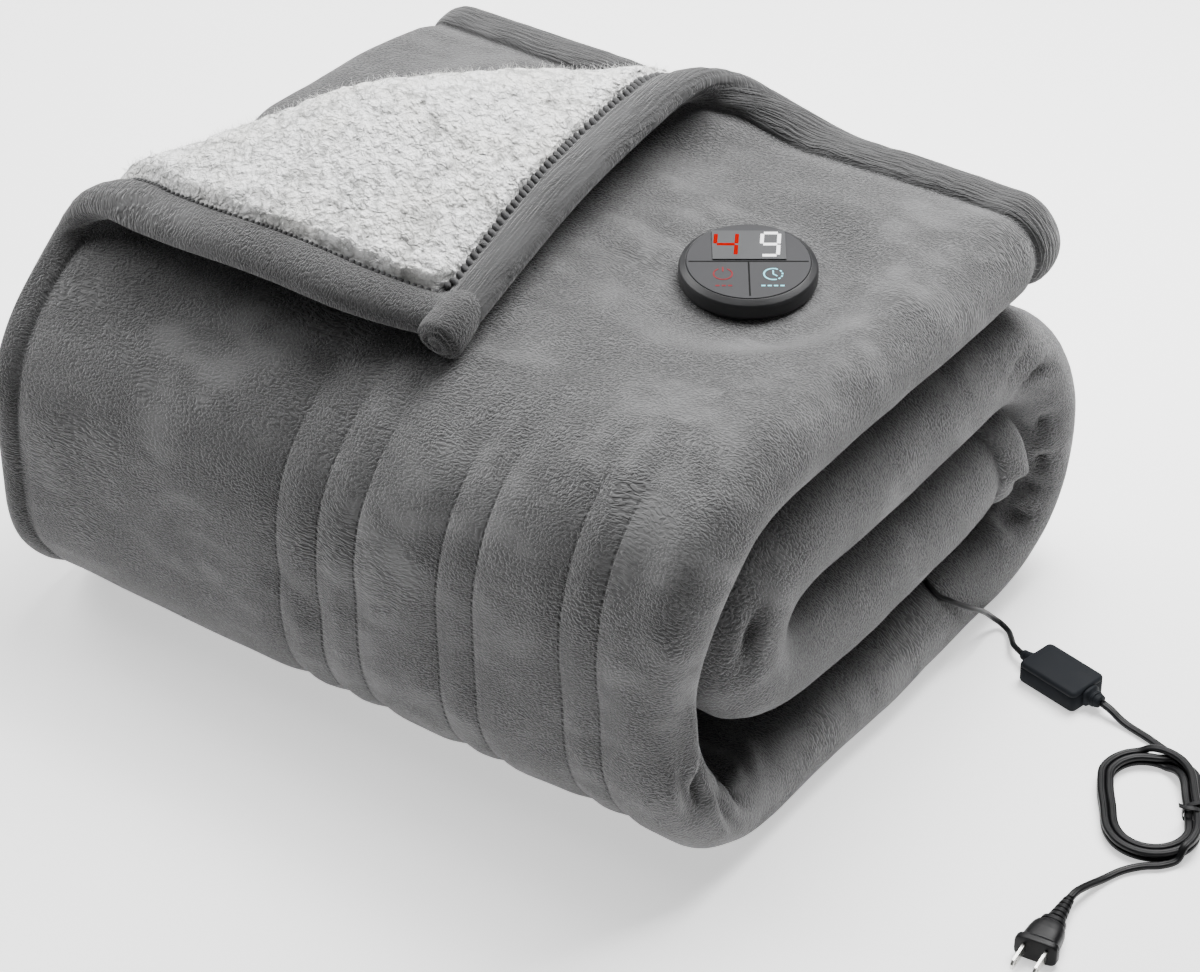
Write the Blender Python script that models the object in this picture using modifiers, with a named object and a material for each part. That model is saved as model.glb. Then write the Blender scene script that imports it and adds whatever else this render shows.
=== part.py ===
"""A heated blanket, folded in thirds and rolled over into a pack, with its controller and cord set.

Run with: blender --background --python part.py

The blanket is one sheet. It is folded in thirds along its length into a strip of three plies, and
the strip is rolled up from one end. ROLL is the line that the middle of the strip follows, seen
from the +X end. The back left corner of the top ply is turned back and shows the pile lining.
+X runs along the strip's width, -Y is the long front face, +Z is up, and z = 0 is the surface.
"""

import math
from collections import namedtuple

import bmesh
import bpy
import numpy as np
from mathutils import Matrix, Vector

# ---- the blanket, in metres
STRIP_LEFT = -0.2285
STRIP_RIGHT = 0.2478
PLY_SHARE = 0.29  # one ply's thickness as a share of the strip's: the rest is air between plies
FOLD_INSET = 0.036  # how far the lower plies' left fold lies inside the top ply's hem
FOLD_INSET_BACK = 0.020  # and how much further at the back end
FRONT_TUCK = (0.013, 0.435, 0.060)  # the right fold draws in low on the front: how far, where and how widely
HEM_WIDTH = 0.030
HEM_PUFF = 1.32  # the hem's thickness, in plies
HEM_NIP = 0.62  # the thickness under the stitches beside a hem, in plies
EDGE_THIN = 0.12  # the thickness left at a free edge, in plies
CORNER_ROUND = 0.022
FLOOR_SNAP = 0.0012

# The middle of the strip from the inner end outwards: a corner of its line, how wide the line
# bends there, and how thick the three plies are there.
Turn = namedtuple("Turn", "run y z bend thick")
ROLL = (
    Turn("inner end", 0.132, 0.107, 0.0, 0.064),
    Turn("lower arm", 0.070, 0.100, 0.20, 0.070),
    Turn("lower arm", -0.040, 0.097, 0.20, 0.071),
    Turn("turn back", -0.132, 0.099, 0.0355, 0.070),
    Turn("turn back", -0.132, 0.170, 0.0360, 0.070),
    Turn("upper arm", 0.020, 0.171, 0.30, 0.071),
    Turn("upper arm", 0.085, 0.172, 0.12, 0.066),
    Turn("back", 0.174, 0.172, 0.070, 0.056),
    Turn("back", 0.174, 0.0290, 0.055, 0.050),
    Turn("bottom", 0.080, 0.0290, 0.50, 0.058),
    Turn("bottom", -0.080, 0.0270, 0.50, 0.053),
    Turn("front", -0.193, 0.0208, 0.068, 0.041),
    Turn("front", -0.193, 0.2350, 0.072, 0.049),
    Turn("top", -0.085, 0.240, 0.20, 0.050),
    Turn("top", 0.060, 0.238, 0.50, 0.050),
    Turn("outer end", 0.157, 0.242, 0.0, 0.050),
)
THINNED_TO = 9400  # triangles that are left of the grid away from the flap
PATH_STEP = 0.002
PATH_SOFTEN = 9  # how many steps each corner of the line is averaged over

# The pack sags towards its left end, less so at the back, where the loose plies stand up.
SAG_MIDDLE = (0.22, 0.20, 0.11)  # where the middle's starts, how far it takes and what share it is
SAG_LEFT = (-0.05, 0.19, 0.09)
SAG_BACK = 0.25
SAG_FRONT_Y = -0.20
SAG_BACK_Y = 0.0
FLARE = 0.014  # how far the loose left edge swings out at the front's top


# ---- the turned-back corner of the top ply
CREASE_LEFT = 0.3215  # from the corner to the crease along the side hem
CREASE_BACK = 0.3540  # and along the end hem
CREST = (0.028, 0.023)  # the soft bend over the crease is half an ellipse: its half length and height
CREST_SIDE_HEM = (0.022, 0.015)  # lower at the hems
CREST_END_HEM = (0.032, 0.022)
CREST_EASE = 0.12
FLAP_LOW = 0.0235  # mid ply to mid ply where the flap lies down
FLAP_SETTLE = 0.15
OPENED_LIFT = 0.015  # how far the middle ply swells where the top ply is turned off it
OPENED_START = 0.025

# ---- rows of stitches across the front: where each lies, from the middle of the strip
CHANNELS = (-0.022, 0.006, 0.032, 0.087, 0.111, 0.168, 0.192)
CHANNEL_DEPTH = 0.0045
CHANNEL_WIDTH = 0.0045
CHANNEL_TOP_Y = -0.165
CHANNEL_FADE = 0.05

# ---- the lining that shows on the flap
LINING_THICK = 0.0060
LINING_GAP = 0.0016
LINING_START = 0.016  # how far past the crease it starts to show
LINING_EDGE = 0.040  # how far it stops short of the sheet's edges

# ---- controller
PUCK_AT = (0.137, 0.004)
PUCK_RADIUS = 0.038
PUCK_HEIGHT = 0.0130
PUCK_MARGIN = 0.014  # how far past its rim the cloth stays flat
PUCK_SEAT_Z = 0.2530
PUCK_TILT = math.radians(2.2)
PUCK_TURN = math.radians(35.6)
FACE_RADIUS = 0.0337
FACE_THICK = 0.0012
FACE_SINK = 0.0012  # the recess in the housing's top
DISPLAY_LEFT = -0.0195
DISPLAY_RIGHT = 0.0205
DISPLAY_FRONT = 0.0006
DISPLAY_BACK = 0.0268
DISPLAY_THICK = 0.0005
GAP = 0.0003  # between pieces that a maker would fit together
CLEAR = 0.0003  # between a hard piece and what it lies on
TURN_STEPS = 56

# ---- the cord set; each route starts at the end nearer the blanket
LEAD_DIAMETER = 0.0034
MAINS_DIAMETER = 0.0038
LEAD_ROUTE = (
    (0.2296, 0.0532, 0.0571),
    (0.2348, 0.0520, 0.0546),
    (0.2394, 0.0524, 0.0515),
    (0.2440, 0.0560, 0.0482),
    (0.2474, 0.0622, 0.0427),
    (0.2500, 0.0700, 0.0365),
    (0.2508, 0.0800, 0.0285),
    (0.2494, 0.0905, 0.0190),
    (0.2492, 0.0990, 0.0100),
    (0.2525, 0.1035, 0.0042),
    (0.2578, 0.1020, 0.0030),
    (0.2640, 0.0955, 0.0046),
    (0.2702, 0.0880, 0.0067),
    (0.2780, 0.0838, 0.0073),
)
ADAPTER_AT = (0.3075, 0.0780, 0.0003)
ADAPTER_HEADING = math.radians(-11)
ADAPTER_LONG, ADAPTER_WIDE, ADAPTER_HIGH = 0.042, 0.027, 0.014
ADAPTER_ROUND = 0.0022
ADAPTER_MIDDLE = 0.0070
MAINS_A_ROUTE = (
    (0.3380, 0.0720, 0.0073),
    (0.3440, 0.0709, 0.0063),
    (0.3520, 0.0693, 0.0036),
    (0.3736, 0.0652, 0.0023),
    (0.3963, 0.0585, 0.0023),
    (0.4092, 0.0534, 0.0024),
    (0.4163, 0.0456, 0.0028),
    (0.4213, 0.0367, 0.0034),
)
COIL_AT = (0.4015, 0.0145)
COIL_HEADING = math.radians(-54.4)
COIL_BEND = 0.0229
COIL_STRAIGHT = 0.0173
COIL_BUNDLE = 0.0094
COIL_LIFT = 0.0015  # the tie passes under it
MAINS_B_ROUTE = (
    (0.4362, -0.0149, 0.0034),
    (0.4312, -0.0227, 0.0026),
    (0.4238, -0.0287, 0.0024),
    (0.4166, -0.0375, 0.0023),
    (0.4110, -0.0520, 0.0030),
    (0.4080, -0.0655, 0.0060),
    (0.4070, -0.0735, 0.0076),
    (0.4070, -0.0799, 0.0078),
)
TIE_AT = (0.4263, 0.0192)
TIE_TURN = math.radians(35.6)
TIE_WIDE = 0.0034
TIE_THICK = 0.0006
# The tie's path round the bundle: across it, up, and along it.
TIE_PATH = (
    (-0.0085, 0.0152, -0.0022),
    (-0.0040, 0.0134, -0.0022),
    (0.0008, 0.0125, -0.0021),
    (0.0038, 0.0106, -0.0018),
    (0.0054, 0.0080, -0.0012),
    (0.0053, 0.0040, -0.0008),
    (0.0026, 0.0010, -0.0004),
    (0.0000, 0.0006, 0.0000),
    (-0.0026, 0.0010, 0.0004),
    (-0.0053, 0.0040, 0.0008),
    (-0.0054, 0.0080, 0.0012),
    (-0.0034, 0.0109, 0.0018),
    (0.0002, 0.0126, 0.0021),
    (0.0040, 0.0137, 0.0022),
    (0.0085, 0.0156, 0.0022),
)
PLUG_AT = (0.4071, -0.0805, 0.0)
PLUG_HEADING = math.radians(-82.2)
PLUG_MIDDLE = 0.0078
BLADE_LONG, BLADE_HIGH, BLADE_THICK = 0.0165, 0.0063, 0.0015
BLADE_APART = 0.0127
BLADE_HOLE = 0.0031

CENTRE_SHIFT = Vector((-0.00395, 0.00783, 0.0))  # puts the middle of the folded blanket's box over the origin


def smooth_step(t):
    t = np.clip(t, 0.0, 1.0)
    return t * t * (3.0 - 2.0 * t)


def soften(values):
    """A moving average, twice, that keeps both ends in place by mirroring the run past them."""
    half = PATH_SOFTEN
    kernel = np.ones(2 * half + 1) / (2 * half + 1)
    for _ in range(2):
        head = 2 * values[0] - values[half:0:-1]
        tail = 2 * values[-1] - values[-2 : -half - 2 : -1]
        padded = np.concatenate([head, values, tail])
        values = np.stack([np.convolve(column, kernel, "valid") for column in padded.T], axis=1)
    return values


def corner_arc(before, corner, after, bend):
    """The points of the arc of radius bend that rounds a corner."""
    back = (before - corner) / np.linalg.norm(before - corner)
    ahead = (after - corner) / np.linalg.norm(after - corner)
    half = 0.5 * math.acos(float(np.clip(back @ ahead, -1.0, 1.0)))
    if math.pi / 2 - half < 1e-4:
        return corner[None, :]
    middle = corner + (back + ahead) / np.linalg.norm(back + ahead) * bend / math.sin(half)
    start = corner + back * bend / math.tan(half) - middle
    end = corner + ahead * bend / math.tan(half) - middle
    sweep = math.pi - 2 * half
    f = np.linspace(0.0, 1.0, 25)[:, None]
    return middle + (np.sin((1 - f) * sweep) * start + np.sin(f * sweep) * end) / math.sin(sweep)


def roll_line(turns):
    """Distance, point and thickness every PATH_STEP along the line through the turns, its corners round."""
    corners = [np.array((turn.y, turn.z)) for turn in turns]
    runs = [corners[0][None, :]]
    for i in range(1, len(turns) - 1):
        runs.append(corner_arc(corners[i - 1], corners[i], corners[i + 1], turns[i].bend))
    runs.append(corners[-1][None, :])
    marks = np.cumsum([len(run) for run in runs]) - np.array([len(run) // 2 + 1 for run in runs])
    points = np.concatenate(runs)
    gone = np.concatenate([[0.0], np.cumsum(np.linalg.norm(np.diff(points, axis=0), axis=1))])
    steps = np.linspace(0.0, gone[-1], int(round(gone[-1] / PATH_STEP)) + 1)
    line = np.stack([np.interp(steps, gone, points[:, k]) for k in (0, 1)], axis=1)
    thick = np.interp(steps, gone[marks], [turn.thick for turn in turns])
    return steps, soften(line), soften(thick[:, None])[:, 0]


STEPS, LINE, THICK = roll_line(ROLL)
TANGENT = np.gradient(LINE, axis=0)
TANGENT /= np.linalg.norm(TANGENT, axis=1)[:, None]
LENGTH = float(STEPS[-1])


def along(s, table):
    return np.interp(s, STEPS, table)


def thickness(s):
    return along(s, THICK)


def ply(s):
    return PLY_SHARE * thickness(s)


def past_crease(x, w):
    """How far a point of the top ply lies past the crease, towards the corner."""
    slope = math.hypot(CREASE_LEFT, CREASE_BACK)
    return (CREASE_LEFT * CREASE_BACK - (x - STRIP_LEFT) * CREASE_LEFT - w * CREASE_BACK) / slope


def section(q, s):
    """Across the strip: q 0-1 top ply, 1-2 right fold, 2-3 inner ply, 3-4 left fold, 4-5 middle ply.

    Gives x, the height m over the middle of the strip, and the x of the middle ply's free edge.
    """
    arm = 0.5 * (thickness(s) - ply(s))
    tuck, middle, reach = FRONT_TUCK
    right = STRIP_RIGHT - 0.5 * thickness(s) - tuck * np.exp(-(((LENGTH - s - middle) / reach) ** 2))
    inset = FOLD_INSET + FOLD_INSET_BACK * (1.0 - smooth_step((LENGTH - s) / 0.09))
    left = STRIP_LEFT + inset + 0.5 * arm + 0.5 * ply(s)
    free = right + 0.15 * arm
    part = np.clip(np.floor(q), 0, 4)
    f = q - part
    turn = math.pi * f
    where = [part == 0, part == 1, part == 2, part == 3]
    x = np.select(
        where,
        [
            STRIP_LEFT + f * (right - STRIP_LEFT),
            right + arm * np.sin(turn),
            right + f * (left - right),
            left - 0.5 * arm * np.sin(turn),
        ],
        left + f * (free - left),
    )
    swell = OPENED_LIFT * smooth_step((past_crease(x, LENGTH - s) - OPENED_START) / 0.07)
    m = np.select(
        where,
        [arm, arm * np.cos(turn), -arm, -0.5 * arm * (1.0 + np.cos(turn)) + swell * smooth_step(f)],
        swell,
    )
    return x, m, free


def on_roll(x, m, s):
    """The point at x across the strip and m outwards from the strip's middle line at s."""
    y = along(s, LINE[:, 0]) - m * along(s, TANGENT[:, 1])
    z = along(s, LINE[:, 1]) + m * along(s, TANGENT[:, 0])
    return np.stack(np.broadcast_arrays(x, y, z), axis=-1)


def round_corner(q, x, w):
    """Draws the top ply's free corner in to a round one, by mapping its square onto a quarter disc."""
    a = np.clip(1.0 - (x - STRIP_LEFT) / CORNER_ROUND, 0.0, 1.0)
    b = np.clip(1.0 - w / CORNER_ROUND, 0.0, 1.0)
    share = np.where((q <= 1.0) & (a * b > 0), np.maximum(a, b) / np.maximum(np.hypot(a, b), 1e-9), 1.0)
    return x + CORNER_ROUND * a * (1.0 - share), w + CORNER_ROUND * b * (1.0 - share)


def middle_surface(q, s):
    """The sheet's middle surface, with the corner of the top ply bent up over the crease and back."""
    x, m, _ = section(q, s)
    plain = on_roll(x, m, s)
    x, w = round_corner(q, x, LENGTH - s)
    s = LENGTH - w
    d = np.where(q <= 1.0, past_crease(x, w), -1.0)
    slope = math.hypot(CREASE_LEFT, CREASE_BACK)
    end_hem = 1.0 - smooth_step(w / CREST_EASE)
    side_hem = (1.0 - smooth_step((x - STRIP_LEFT) / CREST_EASE)) * (1.0 - end_hem)
    reach, rise = (
        mid + (end - mid) * end_hem + (side - mid) * side_hem
        for mid, side, end in zip(CREST, CREST_SIDE_HEM, CREST_END_HEM)
    )
    half_turn = 0.5 * math.pi * (3 * (reach + rise) - np.sqrt((3 * reach + rise) * (reach + 3 * rise)))
    angle = math.pi * np.clip(d / half_turn, 0.0, 1.0)
    beyond = np.clip(d - half_turn, 0.0, None)
    forward = reach * np.sin(angle) - beyond
    drop = (2 * rise - FLAP_LOW) * smooth_step(beyond / FLAP_SETTLE)
    height = rise * (1.0 - np.cos(angle)) - drop
    shift = np.clip(d, 0.0, None) - forward
    new_x = x + shift * CREASE_LEFT / slope
    new_s = s - shift * CREASE_BACK / slope
    arm = 0.5 * (thickness(new_s) - ply(new_s))
    bent = on_roll(new_x, arm + height, new_s)
    return np.where((d > 0.0)[..., None], bent, plain)


def edge_distance(q, s):
    """Distance within the sheet to its nearest free edge."""
    x, _, free = section(q, s)
    side = np.where(q <= 1.0, x - STRIP_LEFT, np.where(q >= 4.0, free - x, 1.0))
    return np.minimum(np.minimum(side, s), LENGTH - s)


def half_thickness(q, s):
    """Half the sheet's thickness: a fat round hem, a nip at its stitches, full beyond."""
    e = edge_distance(q, s)
    half_hem = 0.5 * HEM_WIDTH
    bow = np.sqrt(np.clip(1.0 - (np.clip(e, 0.0, HEM_WIDTH) / half_hem - 1.0) ** 2, 0.0, 1.0))
    edge = EDGE_THIN + (HEM_PUFF - EDGE_THIN) * bow
    inner = HEM_NIP + (HEM_PUFF - HEM_NIP) * bow
    body = HEM_NIP + (1.0 - HEM_NIP) * smooth_step((e - HEM_WIDTH) / 0.012)
    share = np.where(e < half_hem, edge, np.where(e < HEM_WIDTH, inner, body))
    return 0.5 * ply(s) * share


def normals(q, s):
    """Unit normals of the middle surface by central differences, pointing out of the top ply."""
    dq, ds = 0.002, 0.001
    across = middle_surface(np.clip(q + dq, 0, 5), s) - middle_surface(np.clip(q - dq, 0, 5), s)
    onward = middle_surface(q, np.clip(s + ds, 0, LENGTH)) - middle_surface(q, np.clip(s - ds, 0, LENGTH))
    n = np.cross(across, onward)
    return n / np.linalg.norm(n, axis=-1)[..., None]


def settle(points):
    """The pack's own weight: lower towards the left end, and flat where it meets the surface."""
    x, y, z = points[..., 0], points[..., 1], points[..., 2]
    back = smooth_step((y - SAG_FRONT_Y) / (SAG_BACK_Y - SAG_FRONT_Y))
    sag = sum(share * smooth_step((start - x) / span) for start, span, share in (SAG_MIDDLE, SAG_LEFT))
    z = z * (1.0 - sag * (1.0 - (1.0 - SAG_BACK) * back))
    swing = smooth_step((-0.15 - x) / 0.08) * smooth_step((z - 0.12) / 0.10) * (1.0 - smooth_step(y / 0.12))
    x = x - FLARE * swing
    z = np.where(z < FLOOR_SNAP, 0.0, z)
    return np.stack([x, y, z], axis=-1)


def channel_depth(q, s):
    """How deep the rows of stitches across the front face sink into the top ply."""
    x, _, _ = section(q, s)
    y, z = along(s, LINE[:, 0]), along(s, LINE[:, 1])
    on_front = (q <= 1.0) * smooth_step((CHANNEL_TOP_Y + CHANNEL_FADE - y) / CHANNEL_FADE)
    rows = sum(np.exp(-(((x - at) / CHANNEL_WIDTH) ** 2)) for at in CHANNELS)
    return CHANNEL_DEPTH * rows * on_front * smooth_step((z - 0.022) / 0.03)


def seat_height(x, y):
    """The height of the plane that the controller's flat underside lies on."""
    toward_x, toward_y = math.sin(PUCK_TURN), -math.cos(PUCK_TURN)
    rise = (x - PUCK_AT[0]) * toward_x + (y - PUCK_AT[1]) * toward_y
    return PUCK_SEAT_Z - math.tan(PUCK_TILT) * rise


def seat_press(points):
    """How far the cloth sinks to lie flat under the controller, easing out around it."""
    x, y, z = points[..., 0], points[..., 1], points[..., 2]
    r = np.hypot(x - PUCK_AT[0], y - PUCK_AT[1])
    hold = (1.0 - smooth_step((r - PUCK_RADIUS - PUCK_MARGIN) / 0.035)) * (z > PUCK_SEAT_Z - 0.02)
    return hold * (seat_height(x, y) - z)


def sheet(q, s, offset):
    """A point of the sheet, offset along its normal, settled."""
    return settle(middle_surface(q, s) + normals(q, s) * offset[..., None])


def columns():
    """The grid's values of q: close in the hems, at the rows of stitches and in the folds."""
    width = STRIP_RIGHT - STRIP_LEFT - 0.03
    hem = np.array([0.0, 0.002, 0.006, 0.015, 0.024, 0.028, 0.030, 0.033, 0.042]) / width
    plain = (np.arange(0.052, 0.205, 0.0095)) / width
    rows = [(at - STRIP_LEFT + side) / width for at in CHANNELS for side in (-0.007, -0.003, 0.0, 0.003, 0.007)]
    between = (np.array([0.0595, 0.0980, 0.1240, 0.1395, 0.1520]) - STRIP_LEFT) / width
    rest = np.concatenate([rows, between, [0.995]])
    fold = 1.0 + np.linspace(0, 1, 9)
    inner = 2.0 + np.linspace(0, 1, 9)[1:]
    turn = 3.0 + np.linspace(0, 1, 6)[1:]
    middle = 4.0 + np.array([0.1, 0.2, 0.35, 0.5, 0.65, 0.8, 0.9, 0.93, 0.965, 0.985, 0.996, 1.0])
    top = np.unique(np.round(np.clip(np.concatenate([hem, plain, rest]), 0, 0.996), 5))
    return np.concatenate([top, fold, inner, turn, middle])


def stations():
    """The grid's values of s: close in the hems and under the flap, and on the bends of the roll."""
    lip = np.array([0.0, 0.002, 0.006, 0.015, 0.024, 0.028, 0.030, 0.033, 0.042])
    flap = np.linspace(LENGTH - 0.375, LENGTH - 0.052, 36)
    body = [lip[-1]]
    while body[-1] < flap[0] - 0.02:
        i = int(body[-1] / PATH_STEP)
        ahead = TANGENT[min(i + 8, len(TANGENT) - 1)]
        turn = math.acos(float(np.clip(TANGENT[i] @ ahead, -1, 1)))
        body.append(body[-1] + (0.011 if turn > 0.12 else 0.028))
    return np.concatenate([lip, body[1:], flap, LENGTH - lip[::-1]])


def grid_faces(rows, cols, first, flip):
    i, j = np.meshgrid(np.arange(rows - 1), np.arange(cols - 1), indexing="ij")
    a = first + i * cols + j
    quads = np.stack([a, a + cols, a + cols + 1, a + 1], axis=-1).reshape(-1, 4)
    return quads[:, ::-1] if flip else quads


def closed_sheet(outer, inner):
    """Vertices and faces of the slab between two grids of the same size, with its rim closed."""
    rows, cols = outer.shape[:2]
    count = rows * cols
    index = np.arange(count).reshape(rows, cols)
    ring = np.concatenate([index[:-1, 0], index[-1, :-1], index[:0:-1, -1], index[0, :0:-1]])
    after = np.roll(ring, -1)
    rim = np.stack([ring, ring + count, after + count, after], axis=1)
    points = np.concatenate([outer.reshape(-1, 3), inner.reshape(-1, 3)])
    faces = np.concatenate([grid_faces(rows, cols, 0, False), grid_faces(rows, cols, count, True), rim])
    return points, faces


def node(name, points, faces, collection):
    """A closed mesh object with its faces turned outwards."""
    mesh = bpy.data.meshes.new(name)
    mesh.from_pydata(np.asarray(points).tolist(), [], np.asarray(faces).tolist())
    bm = bmesh.new()
    bm.from_mesh(mesh)
    bmesh.ops.recalc_face_normals(bm, faces=bm.faces)
    bm.to_mesh(mesh)
    bm.free()
    obj = bpy.data.objects.new(name, mesh)
    collection.objects.link(obj)
    return obj


def modify(obj, kind, **settings):
    modifier = obj.modifiers.new(kind.title(), kind)
    for key, value in settings.items():
        setattr(modifier, key, value)
    return modifier


def apply_modifiers(obj):
    """Swaps the object's mesh for the one its modifiers make."""
    bpy.context.view_layer.update()
    made = bpy.data.meshes.new_from_object(obj.evaluated_get(bpy.context.evaluated_depsgraph_get()))
    obj.modifiers.clear()
    obj.data = made
    made.name = obj.name


# ---- the cloth


def blanket_grid():
    """The sheet's outer and inner faces on the grid, pressed flat under the controller."""
    q, s = np.meshgrid(columns(), stations(), indexing="ij")
    half = half_thickness(q, s)
    outer = sheet(q, s, half - channel_depth(q, s))
    inner = sheet(q, s, -half)
    press = seat_press(outer) * (q <= 1.0)
    outer[..., 2] += press
    inner[..., 2] += press
    on_flap = (q <= 1.0) & (past_crease(section(q, s)[0], LENGTH - s) > 0.012)
    return outer, inner, on_flap


def build_blanket(collection):
    """The sheet, its grid thinned everywhere but on the flap."""
    outer, inner, on_flap = blanket_grid()
    points, faces = closed_sheet(outer, inner)
    obj = node("blanket", points, faces, collection)
    group = obj.vertex_groups.new(name="thinned")
    group.add(np.flatnonzero(~np.tile(on_flap.ravel(), 2)).tolist(), 1.0, "REPLACE")
    modify(obj, "TRIANGULATE")
    modify(obj, "DECIMATE", ratio=THINNED_TO / (2 * len(faces)), vertex_group="thinned")
    apply_modifiers(obj)
    for vertex in obj.data.vertices:
        if vertex.co.z < FLOOR_SNAP:
            vertex.co.z = 0.0
    return obj


def build_lining(collection):
    """The pile lining over the flap, from just past the crease to just short of both hems."""
    a, b = np.meshgrid(np.linspace(0.05, 1.0, 26), np.linspace(0.0, 1.0, 19), indexing="ij")
    slope = math.hypot(CREASE_LEFT, CREASE_BACK)
    reach = CREASE_LEFT * CREASE_BACK - LINING_EDGE * (CREASE_LEFT + CREASE_BACK) - LINING_START * slope
    x = STRIP_LEFT + LINING_EDGE + a * b * reach / CREASE_LEFT
    w = LINING_EDGE + a * (1.0 - b) * reach / CREASE_BACK
    q = (x - STRIP_LEFT) / (STRIP_RIGHT - 0.5 * thickness(LENGTH - w) - STRIP_LEFT)
    s = LENGTH - w
    rim = np.minimum(np.minimum(a - 0.05, 1.0 - a) * 0.24, a * np.minimum(b, 1.0 - b) * 0.30)
    thick = LINING_THICK * (0.35 + 0.65 * smooth_step(rim / 0.012))
    lower = -(half_thickness(q, s) + LINING_GAP)
    points, faces = closed_sheet(sheet(q, s, lower), sheet(q, s, lower - thick))
    return node("sherpa_lining", points, faces, collection)


# ---- turned and swept pieces


def smooth_path(route, count):
    """Points at equal steps along a smooth curve through the route's points."""
    route = np.array(route)
    chord = np.concatenate([[0.0], np.cumsum(np.linalg.norm(np.diff(route, axis=0), axis=1))])
    slopes = np.gradient(route, chord, axis=0)
    t = np.linspace(0.0, chord[-1], 40 * len(route))
    i = np.clip(np.searchsorted(chord, t, side="right") - 1, 0, len(route) - 2)
    span = (chord[i + 1] - chord[i])[:, None]
    f = (t - chord[i])[:, None] / span
    curve = (
        (2 * f**3 - 3 * f**2 + 1) * route[i]
        + (f**3 - 2 * f**2 + f) * span * slopes[i]
        + (3 * f**2 - 2 * f**3) * route[i + 1]
        + (f**3 - f**2) * span * slopes[i + 1]
    )
    gone = np.concatenate([[0.0], np.cumsum(np.linalg.norm(np.diff(curve, axis=0), axis=1))])
    even = np.linspace(0.0, gone[-1], count)
    return np.stack([np.interp(even, gone, curve[:, k]) for k in range(3)], axis=1)


def tube(name, points, diameter, collection, closed=False, resolution=2):
    """A round tube along the points."""
    curve = bpy.data.curves.new(name, "CURVE")
    curve.dimensions = "3D"
    curve.bevel_depth = 0.5 * diameter
    curve.bevel_resolution = resolution
    curve.use_fill_caps = True
    spline = curve.splines.new("POLY")
    spline.points.add(len(points) - 1)
    spline.use_cyclic_u = closed
    for point, at in zip(spline.points, points):
        point.co = (*at, 1.0)
    obj = bpy.data.objects.new(name, curve)
    collection.objects.link(obj)
    return obj


def turned(name, profile, place, collection):
    """The profile, rows of (radius, height) from axis to axis, turned about the placed Z axis."""
    mesh = bpy.data.meshes.new(name)
    mesh.from_pydata([(r, 0.0, z) for r, z in profile], [(i, i + 1) for i in range(len(profile) - 1)], [])
    obj = bpy.data.objects.new(name, mesh)
    obj.matrix_world = place
    collection.objects.link(obj)
    modify(
        obj,
        "SCREW",
        steps=TURN_STEPS,
        render_steps=TURN_STEPS,
        use_merge_vertices=True,
        merge_threshold=0.00002,
        use_normal_calculate=True,
    )
    return obj


def loft(name, rings, place, collection, count=20):
    """A skin over superellipse rings. Each ring: distance along, half width, half height, power, lift."""
    turn = 2 * math.pi * np.arange(count) / count
    points, faces = [], []
    for t, half_width, half_height, power, lift in rings:
        y = half_width * np.sign(np.cos(turn)) * np.abs(np.cos(turn)) ** (2 / power)
        z = half_height * np.sign(np.sin(turn)) * np.abs(np.sin(turn)) ** (2 / power) + lift
        points.extend(np.stack([np.full(count, t), y, z], axis=1).tolist())
    for k in range(len(rings) - 1):
        for i in range(count):
            a, b = k * count + i, k * count + (i + 1) % count
            faces.append((a, b, b + count, a + count))
    faces.append(tuple(range(count)))
    faces.append(tuple(range((len(rings) - 1) * count, len(rings) * count)))
    mesh = bpy.data.meshes.new(name)
    mesh.from_pydata(points, [], faces)
    bm = bmesh.new()
    bm.from_mesh(mesh)
    bmesh.ops.recalc_face_normals(bm, faces=bm.faces)
    bm.to_mesh(mesh)
    bm.free()
    obj = bpy.data.objects.new(name, mesh)
    obj.matrix_world = place
    collection.objects.link(obj)
    return obj


def placed(at, heading, tilt=0.0):
    """A frame at the point, its X axis turned to the heading and tipped down by the tilt."""
    return Matrix.Translation(Vector(at)) @ Matrix.Rotation(heading, 4, "Z") @ Matrix.Rotation(tilt, 4, "Y")


# ---- the controller


def controller_place():
    """The controller stands on the plane pressed into the cloth, its X axis towards its right edge."""
    seat = Vector((*PUCK_AT, PUCK_SEAT_Z + CLEAR))
    tip = Matrix.Rotation(PUCK_TILT, 4, "X")
    return Matrix.Translation(seat) @ Matrix.Rotation(PUCK_TURN, 4, "Z") @ tip


def build_controller_housing(collection):
    r, h = PUCK_RADIUS, PUCK_HEIGHT
    recess = h - FACE_SINK
    profile = (
        (0.0, 0.0),
        (r - 0.0030, 0.0),
        (r - 0.0009, 0.0009),
        (r, 0.0030),
        (r, h - 0.0042),
        (r - 0.0006, h - 0.0022),
        (r - 0.0020, h - 0.0007),
        (FACE_RADIUS + 0.0010, h),
        (FACE_RADIUS + GAP, h - 0.0003),
        (FACE_RADIUS + GAP, recess),
        (0.0, recess),
    )
    return turned("controller_housing", profile, controller_place(), collection)


def build_controller_face(collection):
    bottom = PUCK_HEIGHT - FACE_SINK + GAP
    top = bottom + FACE_THICK
    profile = ((0.0, bottom), (FACE_RADIUS, bottom), (FACE_RADIUS, top - 0.0003), (FACE_RADIUS - 0.0004, top), (0.0, top))
    return turned("controller_face", profile, controller_place(), collection)


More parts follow.
